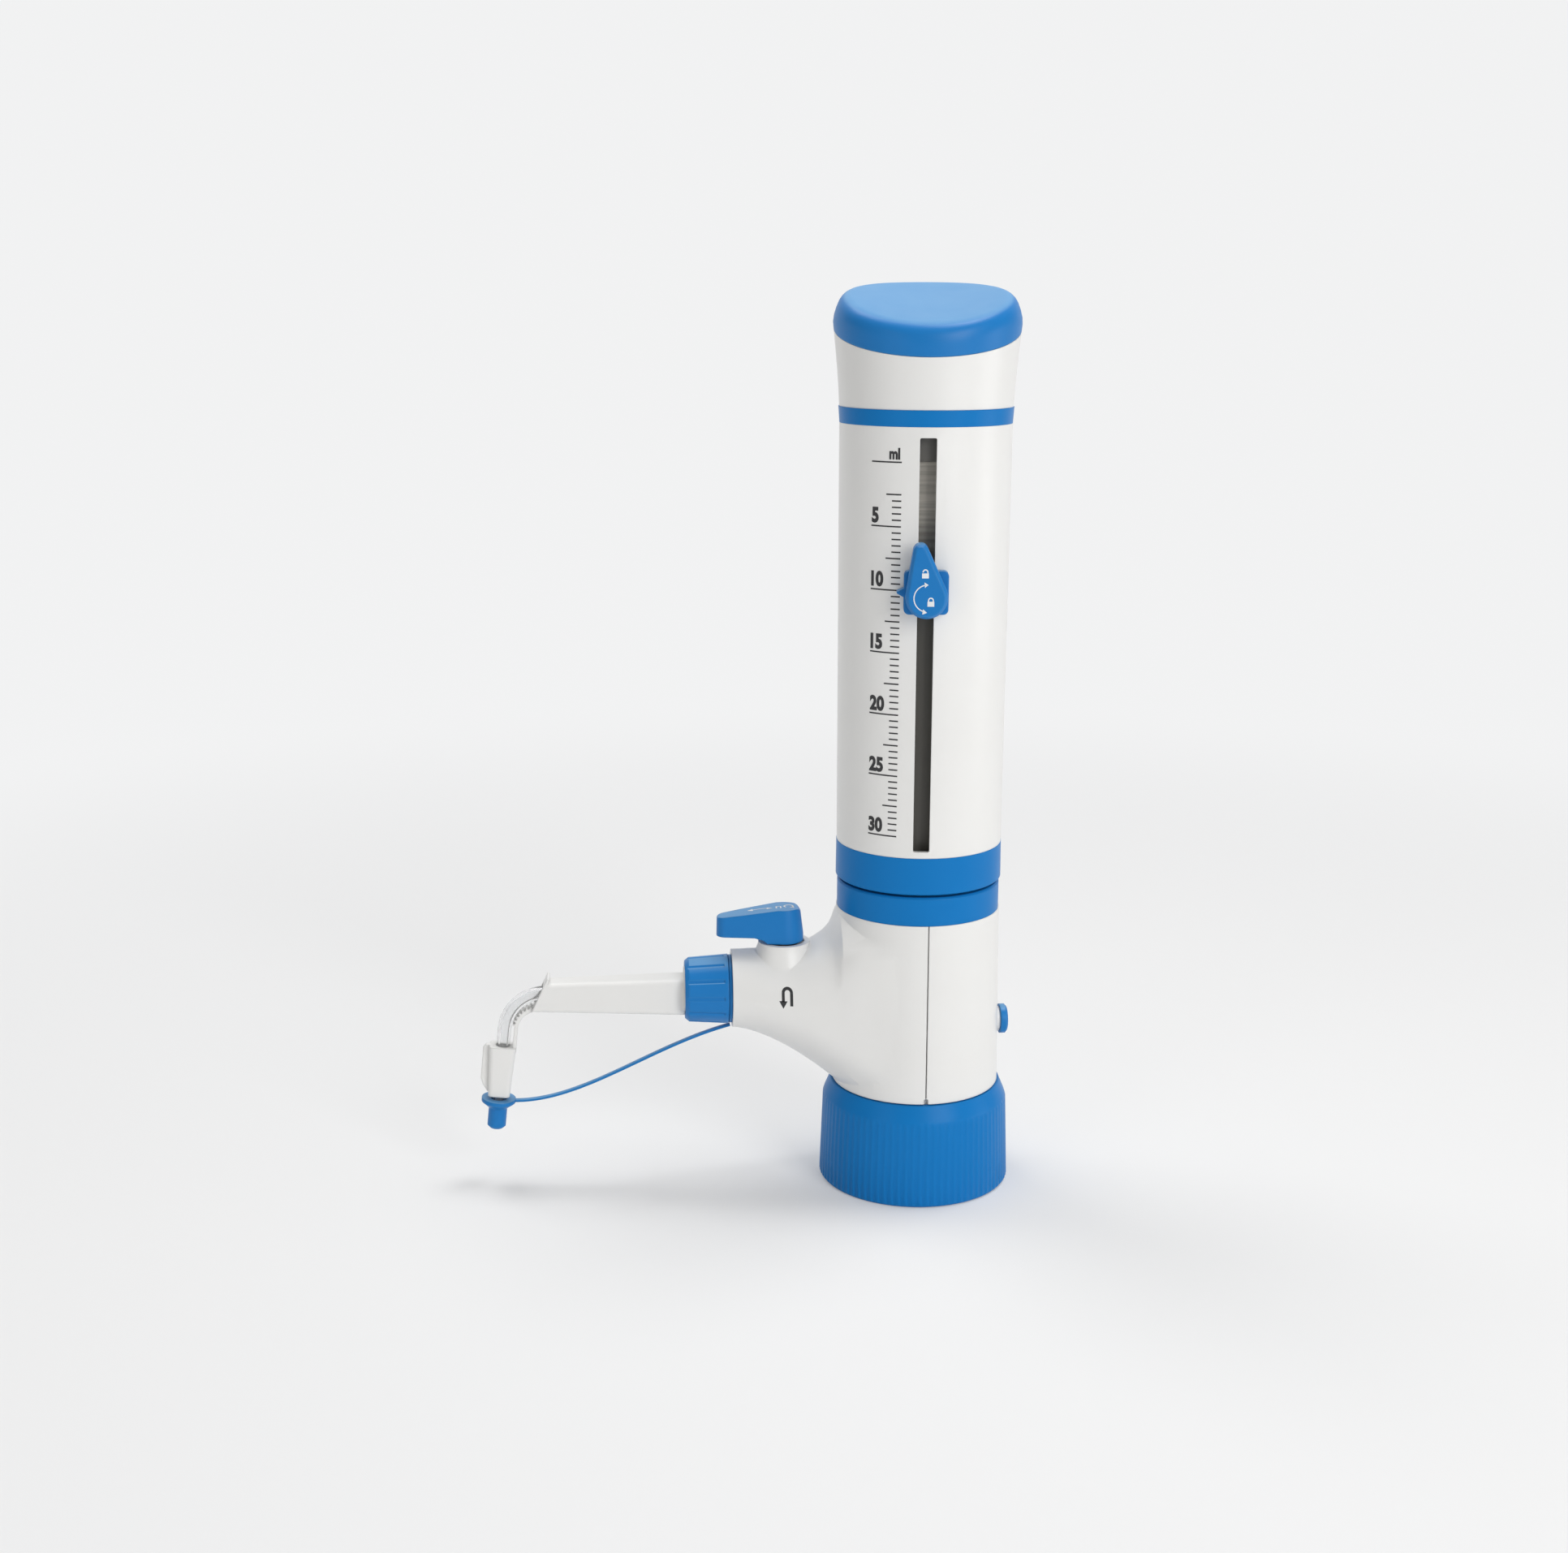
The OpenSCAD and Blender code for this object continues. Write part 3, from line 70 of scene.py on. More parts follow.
# The bench is one pale sheet of paper that rises in a soft curve behind the pump. Away from the
# pump it shows as plain near-white; under and round it the paper keeps the pump's shadow.
sheet_half = 2.6
sheet_front = -1.6
sheet_sink = 0.0002
flat_rows = 8
flat_step = 0.3
curve_rows = 16
curve_foot = 0.8
curve_radius = 1.2
wall_top = (2.0, 3.0)
near_white = (0.89, 0.893, 0.897, 1)
sheet_line = [(sheet_front + step * flat_step, -sheet_sink) for step in range(flat_rows)]
for step in range(curve_rows + 1):
    turn = step / curve_rows * math.pi / 2
    y = curve_foot + curve_radius * math.sin(turn)
    z = curve_radius - curve_radius * math.cos(turn) - sheet_sink
    sheet_line.append((y, z))
sheet_line.append(wall_top)
bench_shape = bmesh.new()
bench_rows = [
    [bench_shape.verts.new((x, y, z)) for x in (-sheet_half, sheet_half)] for y, z in sheet_line
]
for low, high in zip(bench_rows, bench_rows[1:]):
    bench_shape.faces.new((low[0], low[1], high[1], high[0]))
bench_mesh = bpy.data.meshes.new("bench_sheet")
bench_shape.to_mesh(bench_mesh)
bench_shape.free()
bench_mesh.shade_smooth()
bench = bpy.data.objects.new("bench_sheet", bench_mesh)
bpy.context.scene.collection.objects.link(bench)

bench_paper = bpy.data.materials.new("bench_paper")
bench_paper.use_nodes = True
tree = bench_paper.node_tree
tree.nodes.clear()
paper = tree.nodes.new("ShaderNodeBsdfDiffuse")
paper.inputs["Color"].default_value = (0.83, 0.83, 0.83, 1)
glow = tree.nodes.new("ShaderNodeEmission")
glow.inputs["Color"].default_value = near_white
glow.inputs["Strength"].default_value = 1.0
sees = tree.nodes.new("ShaderNodeLightPath")
seen_or_mirrored = tree.nodes.new("ShaderNodeMath")
seen_or_mirrored.operation = "MAXIMUM"
seen_any_way = tree.nodes.new("ShaderNodeMath")
seen_any_way.operation = "MAXIMUM"
spot = tree.nodes.new("ShaderNodeTexCoord")
distance = tree.nodes.new("ShaderNodeVectorMath")
distance.operation = "LENGTH"
away = tree.nodes.new("ShaderNodeMapRange")
away.interpolation_type = "SMOOTHSTEP"
away.inputs["From Min"].default_value = 0.15
away.inputs["From Max"].default_value = 0.75
away.inputs["To Min"].default_value = 0.22
away.inputs["To Max"].default_value = 0.985
share = tree.nodes.new("ShaderNodeMath")
share.operation = "MULTIPLY"
laid = tree.nodes.new("ShaderNodeMixShader")
out = tree.nodes.new("ShaderNodeOutputMaterial")
tree.links.new(sees.outputs["Is Camera Ray"], seen_or_mirrored.inputs[0])
tree.links.new(sees.outputs["Is Glossy Ray"], seen_or_mirrored.inputs[1])
tree.links.new(seen_or_mirrored.outputs[0], seen_any_way.inputs[0])
tree.links.new(sees.outputs["Is Transmission Ray"], seen_any_way.inputs[1])
tree.links.new(spot.outputs["Object"], distance.inputs[0])
tree.links.new(distance.outputs["Value"], away.inputs["Value"])
tree.links.new(seen_any_way.outputs[0], share.inputs[0])
tree.links.new(away.outputs["Result"], share.inputs[1])
tree.links.new(share.outputs[0], laid.inputs["Fac"])
tree.links.new(paper.outputs[0], laid.inputs[1])
tree.links.new(glow.outputs[0], laid.inputs[2])
tree.links.new(laid.outputs[0], out.inputs["Surface"])
bench_mesh.materials.append(bench_paper)

# Light: two soft boxes hang over the pump. One throws the nozzle's shadow straight down, the
# other a broad one to the front. A large box lights the front from the right, two weak ones fill
# the left and the foot, and the room adds an even grey.
room = bpy.data.worlds.new("studio_room")
bpy.context.scene.world = room
room.use_nodes = True
tree = room.node_tree
tree.nodes.clear()
even = tree.nodes.new("ShaderNodeBackground")
even.inputs["Color"].default_value = (1, 1, 1, 1)
even.inputs["Strength"].default_value = 0.36
shown = tree.nodes.new("ShaderNodeBackground")
shown.inputs["Color"].default_value = near_white
shown.inputs["Strength"].default_value = 1.0
sees = tree.nodes.new("ShaderNodeLightPath")
choose = tree.nodes.new("ShaderNodeMixShader")
out = tree.nodes.new("ShaderNodeOutputWorld")
tree.links.new(sees.outputs["Is Camera Ray"], choose.inputs["Fac"])
tree.links.new(even.outputs[0], choose.inputs[1])
tree.links.new(shown.outputs[0], choose.inputs[2])
tree.links.new(choose.outputs[0], out.inputs["Surface"])


def hang_soft_box(name, place, aim_height, size, watts):
    # a rectangular lamp that looks at a point on the pump's axis
    lamp = bpy.data.lights.new(name, "AREA")
    lamp.shape = "RECTANGLE"
    lamp.size = size[0]
    lamp.size_y = size[1]
    lamp.energy = watts
    stand = bpy.data.objects.new(name, lamp)
    stand.location = place
    aim = Vector((0, 0, aim_height)) - Vector(place)
    stand.rotation_euler = aim.to_track_quat("-Z", "Y").to_euler()
    bpy.context.scene.collection.objects.link(stand)


hang_soft_box("top_soft_box", (0.25, 0.1, 1.15), aim_height=0.1, size=(0.32, 0.32), watts=4.2)
hang_soft_box("back_soft_box", (-0.34, 0.32, 1.12), aim_height=0.1, size=(0.42, 0.42), watts=3.6)
hang_soft_box("front_soft_box", (0.62, -1.15, 0.62), aim_height=0.12, size=(0.6, 0.9), watts=9.4)
hang_soft_box("left_soft_box", (-0.9, -0.9, 0.4), aim_height=0.12, size=(0.4, 0.8), watts=1.2)
hang_soft_box("low_soft_box", (0.96, -0.19, 0.096), aim_height=0.04, size=(0.48, 0.19), watts=0.9)

# Bottle collar: the ribbed screw cap that clamps the pump to the bottle. It is moulded in blue
# polypropylene with a half-gloss skin, and turns freely under the lip of the housing. The skin
# of the mould and the rubbed outer edges are effects that all the plastics share.
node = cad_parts


def new_group(name, takes, gives):
    # an empty shader group with its sockets, and the nodes inside it that hold them
    group = bpy.data.node_groups.new(name, "ShaderNodeTree")
    for label, kind, value in takes:
        socket = group.interface.new_socket(label, in_out="INPUT", socket_type=kind)
        socket.default_value = value
    for label, kind in gives:
        group.interface.new_socket(label, in_out="OUTPUT", socket_type=kind)
    return group, group.nodes.new("NodeGroupInput"), group.nodes.new("NodeGroupOutput")


def mix_colours(tree, share):
    # gives the sockets for the first and the second colour, and the one that the mix leaves by
    mix = tree.nodes.new("ShaderNodeMix")
    mix.data_type = "RGBA"
    tree.links.new(share, mix.inputs[0])
    return mix.inputs[6], mix.inputs[7], mix.outputs[2]


mould_skin, given, made = new_group(
    "mould_skin",
    (
        ("Colour", "NodeSocketColor", (0.5, 0.5, 0.5, 1)),
        ("Cloud Colour", "NodeSocketColor", (0.5, 0.5, 0.5, 1)),
        ("Cloud Scale", "NodeSocketFloat", 60.0),
        ("Grain Scale", "NodeSocketFloat", 2500.0),
        ("Gloss Low", "NodeSocketFloat", 0.3),
        ("Gloss High", "NodeSocketFloat", 0.42),
    ),
    (
        ("Colour", "NodeSocketColor"),
        ("Roughness", "NodeSocketFloat"),
        ("Height", "NodeSocketFloat"),
    ),
)
spot = mould_skin.nodes.new("ShaderNodeTexCoord")
clouds = mould_skin.nodes.new("ShaderNodeTexNoise")
clouds.inputs["Detail"].default_value = 4
clouds.inputs["Roughness"].default_value = 0.55
grain = mould_skin.nodes.new("ShaderNodeTexNoise")
grain.inputs["Detail"].default_value = 2
gloss = mould_skin.nodes.new("ShaderNodeMapRange")
clear_part, cloudy_part, clouded = mix_colours(mould_skin, clouds.outputs["Fac"])
mould_skin.links.new(spot.outputs["Object"], clouds.inputs["Vector"])
mould_skin.links.new(spot.outputs["Object"], grain.inputs["Vector"])
mould_skin.links.new(given.outputs["Cloud Scale"], clouds.inputs["Scale"])
mould_skin.links.new(given.outputs["Grain Scale"], grain.inputs["Scale"])
mould_skin.links.new(given.outputs["Colour"], clear_part)
mould_skin.links.new(given.outputs["Cloud Colour"], cloudy_part)
mould_skin.links.new(clouds.outputs["Fac"], gloss.inputs["Value"])
mould_skin.links.new(given.outputs["Gloss Low"], gloss.inputs["To Min"])
mould_skin.links.new(given.outputs["Gloss High"], gloss.inputs["To Max"])
mould_skin.links.new(clouded, made.inputs["Colour"])
mould_skin.links.new(gloss.outputs["Result"], made.inputs["Roughness"])
mould_skin.links.new(grain.outputs["Fac"], made.inputs["Height"])

rubbed_edge, given, made = new_group(
    "rubbed_edge",
    (("Reach", "NodeSocketFloat", 0.0004),),
    (("Mask", "NodeSocketFloat"), ("Normal", "NodeSocketVector")),
)
softened = rubbed_edge.nodes.new("ShaderNodeBevel")
softened.samples = 6
surface = rubbed_edge.nodes.new("ShaderNodeNewGeometry")
spot = rubbed_edge.nodes.new("ShaderNodeTexCoord")
patches = rubbed_edge.nodes.new("ShaderNodeTexNoise")
patches.inputs["Scale"].default_value = 320
agree = rubbed_edge.nodes.new("ShaderNodeVectorMath")
agree.operation = "DOT_PRODUCT"
turned = rubbed_edge.nodes.new("ShaderNodeMapRange")
turned.inputs["From Min"].default_value = 0.995
turned.inputs["From Max"].default_value = 0.8
worn = rubbed_edge.nodes.new("ShaderNodeMath")
worn.operation = "MULTIPLY"
rubbed_edge.links.new(given.outputs["Reach"], softened.inputs["Radius"])
rubbed_edge.links.new(softened.outputs["Normal"], agree.inputs[0])
rubbed_edge.links.new(surface.outputs["Normal"], agree.inputs[1])
rubbed_edge.links.new(agree.outputs["Value"], turned.inputs["Value"])
rubbed_edge.links.new(spot.outputs["Object"], patches.inputs["Vector"])
rubbed_edge.links.new(turned.outputs["Result"], worn.inputs[0])
rubbed_edge.links.new(patches.outputs["Fac"], worn.inputs[1])
rubbed_edge.links.new(worn.outputs[0], made.inputs["Mask"])
rubbed_edge.links.new(softened.outputs["Normal"], made.inputs["Normal"])


def add_skin(tree, colour, cloud, gloss, grain):
    skin = tree.nodes.new("ShaderNodeGroup")
    skin.node_tree = mould_skin
    skin.inputs["Colour"].default_value = (*colour, 1)
    skin.inputs["Cloud Colour"].default_value = (*cloud, 1)
    skin.inputs["Gloss Low"].default_value = gloss[0]
    skin.inputs["Gloss High"].default_value = gloss[1]
    skin.inputs["Grain Scale"].default_value = grain
    return skin


def add_relief(tree, height, strength, depth):
    relief = tree.nodes.new("ShaderNodeBump")
    relief.inputs["Strength"].default_value = strength
    relief.inputs["Distance"].default_value = depth
    tree.links.new(height, relief.inputs["Height"])
    tree.links.new(relief.outputs["Normal"], tree.nodes["Principled BSDF"].inputs["Normal"])
    return relief


def moulded_plastic(name, colour, cloud, rubbed, gloss, grain, bump=0.02, reach=0.0004, mirror=0.5):
    # cloud is the slow change of colour, rubbed the colour of the outer edges as far as reach,
    # gloss the lowest and highest roughness, grain the fineness of the skin
    mat = bpy.data.materials.new(name)
    mat.use_nodes = True
    tree = mat.node_tree
    shader = tree.nodes["Principled BSDF"]
    shader.inputs["Specular IOR Level"].default_value = mirror
    skin = add_skin(tree, colour, cloud, gloss, grain)
    edge = tree.nodes.new("ShaderNodeGroup")
    edge.node_tree = rubbed_edge
    edge.inputs["Reach"].default_value = reach
    plain_part, rubbed_part, coloured = mix_colours(tree, edge.outputs["Mask"])
    rubbed_part.default_value = (*rubbed, 1)
    tree.links.new(skin.outputs["Colour"], plain_part)
    tree.links.new(coloured, shader.inputs["Base Color"])
    tree.links.new(skin.outputs["Roughness"], shader.inputs["Roughness"])
    relief = add_relief(tree, skin.outputs["Height"], strength=bump, depth=0.0002)
    tree.links.new(edge.outputs["Normal"], relief.inputs["Normal"])
    return mat


def finish_parts(mat, *names):
    for name in names:
        part = node[name]
        part.data.materials.clear()
        part.data.materials.append(mat)


def smooth_facets(sharp, *names):
    # welds a part's triangles and shades across every edge that turns less than sharp degrees
    weld_distance = 2e-6
    tree = bpy.data.node_groups.new("smooth_facets", "GeometryNodeTree")
    tree.interface.new_socket("Part", in_out="INPUT", socket_type="NodeSocketGeometry")
    tree.interface.new_socket("Part", in_out="OUTPUT", socket_type="NodeSocketGeometry")
    given = tree.nodes.new("NodeGroupInput")
    made = tree.nodes.new("NodeGroupOutput")
    weld = tree.nodes.new("GeometryNodeMergeByDistance")
    weld.inputs["Distance"].default_value = weld_distance
    turn = tree.nodes.new("GeometryNodeInputMeshEdgeAngle")
    over = tree.nodes.new("ShaderNodeMath")
    over.operation = "GREATER_THAN"
    over.inputs[1].default_value = math.radians(sharp)
    shade = tree.nodes.new("GeometryNodeSetMeshNormal")
    shade.inputs["Remove Custom"].default_value = True
    shade.inputs["Face Sharpness"].default_value = False
    tree.links.new(given.outputs[0], weld.inputs["Geometry"])
    tree.links.new(weld.outputs["Geometry"], shade.inputs["Mesh"])
    tree.links.new(turn.outputs["Unsigned Angle"], over.inputs[0])
    tree.links.new(over.outputs[0], shade.inputs["Edge Sharpness"])
    tree.links.new(shade.outputs["Mesh"], made.inputs[0])
    for name in names:
        node[name].modifiers.new("smooth_facets", "NODES").node_group = tree


blue = (0.004, 0.165, 0.47)
blue_cloud = (0.006, 0.18, 0.5)
blue_moulding = moulded_plastic(
    "blue_moulding", blue, blue_cloud, rubbed=(0.03, 0.26, 0.6),
    gloss=(0.3, 0.4), grain=3200.0, mirror=0.12,
)
finish_parts(blue_moulding, "bottle_collar")
smooth_facets(40, "bottle_collar")

# Bottle seal and the foot flange above it: the seal is a flat rubber ring that the bottle's rim
# presses on, and the flange is turned from fluoropolymer, off-white and waxy.
rubber_moulding = moulded_plastic(
    "rubber_moulding", (0.02, 0.02, 0.02), (0.026, 0.026, 0.026), rubbed=(0.05, 0.05, 0.05),
    gloss=(0.6, 0.72), grain=2600.0,
)
turned_polymer = moulded_plastic(
    "turned_polymer", (0.66, 0.65, 0.6), (0.7, 0.69, 0.65), rubbed=(0.76, 0.75, 0.72),
    gloss=(0.42, 0.5), grain=3000.0,
)
finish_parts(rubber_moulding, "bottle_seal")
finish_parts(turned_polymer, "foot_flange")

# Housing: two white shells that close on the valve block along a fine upright seam. They are
# dense polypropylene with a faint warm cast and a soft half-gloss skin.
white = (0.76, 0.755, 0.735)
white_cloud = (0.79, 0.785, 0.77)
white_rubbed = (0.86, 0.86, 0.85)
white_moulding = moulded_plastic(
    "white_moulding", white, white_cloud, rubbed=white_rubbed, gloss=(0.3, 0.42), grain=2600.0,
)
finish_parts(white_moulding, "housing_front", "housing_rear")
smooth_facets(32, "housing_front")

# Flow mark: a small dark arrow printed on the side of the snout, up one leg and down the other,
# which shows that the tap can send the liquid back to the bottle. It is a thin film of ink, as
# the scale and the signs on the levers are; each is drawn flat, then laid on its part.
ink_black = moulded_plastic(
    "ink_black", (0.018, 0.018, 0.02), (0.03, 0.03, 0.032), rubbed=(0.03, 0.03, 0.032),
    gloss=(0.45, 0.6), grain=2200.0, bump=0.01, reach=0.0001,
)
ink_height = 0.03
flow_stroke = 0.85


def band(points, width):
    # four-cornered links along a line, each half a width to either side
    sides = []
    for i, (u, v) in enumerate(points):
        before = points[max(0, i - 1)]
        after = points[min(len(points) - 1, i + 1)]
        du, dv = after[0] - before[0], after[1] - before[1]
        size = math.hypot(du, dv)
        du, dv = du / size * width / 2, dv / size * width / 2
        sides.append(((u - dv, v + du), (u + dv, v - du)))
    return [(a, b, d, c) for (a, b), (c, d) in zip(sides, sides[1:])]


def arc(centre, radius, start, end, steps=16):
    # points along part of a circle, from one angle in degrees to another
    return [
        (
            centre[0] + radius * math.cos(math.radians(start + (end - start) * i / steps)),
            centre[1] + radius * math.sin(math.radians(start + (end - start) * i / steps)),
        )
        for i in range(steps + 1)
    ]


def cut_in_cells(film, axis, cell):
    # parts a flat film along one axis, so that it can follow a round surface
    low = min(v.co[axis] for v in film.verts)
    high = max(v.co[axis] for v in film.verts)
    for i in range(1, int((high - low) / cell) + 1):
        at = [0, 0, 0]
        across = [0, 0, 0]
        at[axis] = low + i * cell
        across[axis] = 1
        every = list(film.verts) + list(film.edges) + list(film.faces)
        bmesh.ops.bisect_plane(film, geom=every, dist=1e-6, plane_co=at, plane_no=across)


def lay_film(name, film, lay):
    # moves each corner of a flat film to where lay puts it, and makes the film a piece
    for v in film.verts:
        v.co = Vector(lay(v.co.x, v.co.y)) * mm
    film.normal_update()
    mesh = bpy.data.meshes.new(name)
    film.to_mesh(mesh)
    film.free()
    piece = bpy.data.objects.new(name, mesh)
    bpy.context.scene.collection.objects.link(piece)
    return piece


def printed_film(name, shapes, lay, cell=0.5):
    film = bmesh.new()
    for outline in shapes:
        film.faces.new([film.verts.new((u, v, 0)) for u, v in outline])
    cut_in_cells(film, axis=0, cell=cell)
    cut_in_cells(film, axis=1, cell=cell)
    return lay_film(name, film, lay)


def laid_on(part, centre, right, up, out):
    # lays a flat drawing on a part, straight back along the way that out points
    stand_off = 20
    skin = BVHTree.FromPolygons(
        [v.co for v in part.data.vertices], [p.vertices for p in part.data.polygons]
    )

    def lay(u, v):
        start = Vector(centre) + Vector(right) * u + Vector(up) * v + Vector(out) * stand_off
        hit = skin.ray_cast(start * mm, -Vector(out))[0]
        if hit is None:
            return start - Vector(out) * stand_off
        return hit / mm + Vector(out) * ink_height

    return lay


flow_shapes = band([(1.3, -2.4), (1.3, 1.3)], flow_stroke)
flow_shapes += band(arc((0.1, 1.3), 1.2, 0, 180), flow_stroke)
flow_shapes += band([(-1.1, 1.3), (-1.1, -1.3)], flow_stroke)
flow_shapes += [((-2.3, -1.0), (0.1, -1.0), (-1.1, -3.2))]
flow_mark = printed_film(
    "flow_mark", [tuple(reversed(s)) for s in flow_shapes],
    laid_on(node["housing_front"], (-39.8, 0, 60.8), (1, 0, 0), (0, 0, 1), (0, -1, 0)),
)
flow_mark.data.materials.append(ink_black)
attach(flow_mark, "base")

# Valve block, its nipples and check valves: turned fluoropolymer that the liquid runs through,
# with glass balls on ground seats. The housing's shells clamp the block, and only the nipples
# show, from under the collar.
finish_parts(turned_polymer, "valve_block", "suction_nipple", "return_nipple",
             "suction_valve", "discharge_valve", "valve_spindle", "tube_ferrule")
finish_parts(rubber_moulding, "spindle_seal", "cylinder_seal")


def clear_material(name, colour, bend, smooth, passes):
    # bend is the refraction, passes the share of light that goes through; a slow smear varies
    # the roughness between the two values of smooth
    mat = bpy.data.materials.new(name)
    mat.use_nodes = True
    tree = mat.node_tree
    shader = tree.nodes["Principled BSDF"]
    shader.inputs["IOR"].default_value = bend
    shader.inputs["Metallic"].default_value = 0.0
    shader.inputs["Transmission Weight"].default_value = passes
    skin = add_skin(tree, colour, [c * 0.97 for c in colour], smooth, 900.0)
    tree.links.new(skin.outputs["Colour"], shader.inputs["Base Color"])
    tree.links.new(skin.outputs["Roughness"], shader.inputs["Roughness"])
    add_relief(tree, skin.outputs["Height"], strength=0.01, depth=0.0001)
    return mat


cylinder_glass = clear_material(
    "cylinder_glass", (0.97, 0.985, 0.98), bend=1.47, smooth=(0.01, 0.05), passes=1.0,
)
finish_parts(cylinder_glass, "glass_cylinder", "suction_ball", "discharge_ball")

# Pump: a fluoropolymer piston on a steel rod runs in the glass cylinder. The rod is ground along
# its length and a nut ties it to the plate in the head.
ground_steel = bpy.data.materials.new("ground_steel")
ground_steel.use_nodes = True
tree = ground_steel.node_tree
shader = tree.nodes["Principled BSDF"]
shader.inputs["Metallic"].default_value = 1.0
spot = tree.nodes.new("ShaderNodeTexCoord")
drawn = tree.nodes.new("ShaderNodeMapping")
drawn.inputs["Scale"].default_value = (1.0, 1.0, 0.02)
scratch = tree.nodes.new("ShaderNodeTexNoise")
scratch.inputs["Scale"].default_value = 4200
scratch.inputs["Detail"].default_value = 3
dull = tree.nodes.new("ShaderNodeMapRange")
dull.inputs["To Min"].default_value = 0.22
dull.inputs["To Max"].default_value = 0.38
dark_steel, bright_steel, steel_tone = mix_colours(tree, scratch.outputs["Fac"])
dark_steel.default_value = (0.5, 0.5, 0.49, 1)
bright_steel.default_value = (0.64, 0.64, 0.63, 1)
tree.links.new(spot.outputs["Object"], drawn.inputs["Vector"])
tree.links.new(drawn.outputs["Vector"], scratch.inputs["Vector"])
tree.links.new(scratch.outputs["Fac"], dull.inputs["Value"])
tree.links.new(steel_tone, shader.inputs["Base Color"])
tree.links.new(dull.outputs["Result"], shader.inputs["Roughness"])
add_relief(tree, scratch.outputs["Fac"], strength=0.04, depth=0.0001)
finish_parts(ground_steel, "piston_rod", "rod_nut", "clamp_shaft")
finish_parts(turned_polymer, "piston", "piston_seal")

# Guard tube: the dark grey moulded sleeve round the glass that shows in the slot. Its upper end
# carries fine turned rings, on which a painted sheen stands for light falling from above, and a
# guide closes it round the rod.
dark_moulding = moulded_plastic(
    "dark_moulding", (0.04, 0.04, 0.037), (0.05, 0.05, 0.046), rubbed=(0.09, 0.09, 0.085),
    gloss=(0.5, 0.62), grain=2600.0,
)
finish_parts(dark_moulding, "head_plate", "stop_dog")
guide_moulding = moulded_plastic(
    "guide_moulding", (0.16, 0.155, 0.145), (0.09, 0.088, 0.08), rubbed=(0.2, 0.19, 0.18),
    gloss=(0.5, 0.62), grain=2600.0,
)
finish_parts(guide_moulding, "rod_guide")
dark_with_ring_sheen = moulded_plastic(
    "dark_with_ring_sheen", (0.1, 0.095, 0.085), (0.12, 0.115, 0.1), rubbed=(0.16, 0.15, 0.14),
    gloss=(0.42, 0.55), grain=2600.0,
)
# painted highlight: from this height up, the tube's colour is mixed with pale streaks, for light
# from above on its rings
sheen_foot = 0.186
sheen_top = 0.204
tree = dark_with_ring_sheen.node_tree
shader = tree.nodes["Principled BSDF"]
tube_colour = shader.inputs["Base Color"].links[0].from_socket
spot = tree.nodes.new("ShaderNodeTexCoord")
height = tree.nodes.new("ShaderNodeSeparateXYZ")
sheen_zone = tree.nodes.new("ShaderNodeMapRange")
sheen_zone.inputs["From Min"].default_value = sheen_foot
sheen_zone.inputs["From Max"].default_value = sheen_top
drawn = tree.nodes.new("ShaderNodeMapping")
drawn.inputs["Scale"].default_value = (0.04, 0.04, 1.0)
rings = tree.nodes.new("ShaderNodeTexNoise")
rings.inputs["Scale"].default_value = 900
rings.inputs["Detail"].default_value = 3
strength = tree.nodes.new("ShaderNodeMath")
strength.operation = "MULTIPLY"
tree.links.new(spot.outputs["Object"], height.inputs[0])
tree.links.new(height.outputs["Z"], sheen_zone.inputs["Value"])
tree.links.new(spot.outputs["Object"], drawn.inputs["Vector"])
tree.links.new(drawn.outputs["Vector"], rings.inputs["Vector"])
tree.links.new(sheen_zone.outputs["Result"], strength.inputs[0])
tree.links.new(rings.outputs["Fac"], strength.inputs[1])
dark_part, sheen_part, ring_sheen_colour = mix_colours(tree, strength.outputs[0])
sheen_part.default_value = (0.78, 0.74, 0.66, 1)
tree.links.new(tube_colour, dark_part)
tree.links.new(ring_sheen_colour, shader.inputs["Base Color"])
finish_parts(dark_with_ring_sheen, "guard_tube")

# Lower ring, skirt ring and accent ring: three bands of the blue moulding. The lower one closes
# the housing and stays with it, the other two trim the sleeve and rise with it.
finish_parts(blue_moulding, "lower_ring", "skirt_ring", "accent_ring")

# Sleeve: the white tube that is lifted to fill the pump, with a long slot for the slider. It is
# moulded in the same white as the housing.
finish_parts(white_moulding, "sleeve")

# Volume scale: fine dark lines printed on the sleeve beside the slot, one for each half
# millilitre, longer at every 2.5 and 5. Heights are in millimetres, and places round the sleeve
# in degrees from the slot's middle, towards the nozzle when negative.
slot_turn = 6.3
scale_zero = 216.0
scale_step = 3.507
line_thick = 0.4
line_end = -17.0
long_start = -38.5
middle_start = -27.4
short_start = -23.3
sleeve_foot = (104.6, 24.1)
sleeve_head = (225.5, 24.4)


def lay_on_sleeve(along, z):
    # the sleeve widens a little from foot to head, each given as a height and a radius
    share = (z - sleeve_foot[0]) / (sleeve_head[0] - sleeve_foot[0])
    radius = sleeve_foot[1] + share * (sleeve_head[1] - sleeve_foot[1]) + ink_height
    turn = math.radians(slot_turn - along)
    return (-radius * math.sin(turn), -radius * math.cos(turn), z)


scale_lines = [(long_start, 0.0)]
for half in range(5, 61):
    if half % 10 == 0:
        line_start = long_start
    elif half % 5 == 0:
        line_start = middle_start
    else:
        line_start = short_start
    scale_lines.append((line_start, half / 2))
line_shapes = []
for line_start, ml in scale_lines:
    z = scale_zero - scale_step * ml
    line_shapes.append((
        (line_start, z - line_thick / 2), (line_end, z - line_thick / 2),
        (line_end, z + line_thick / 2), (line_start, z + line_thick / 2),
    ))
scale_ticks = printed_film("scale_ticks", line_shapes, lay_on_sleeve, cell=1.5)
scale_ticks.data.materials.append(ink_black)
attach(scale_ticks, "sleeve_unit")

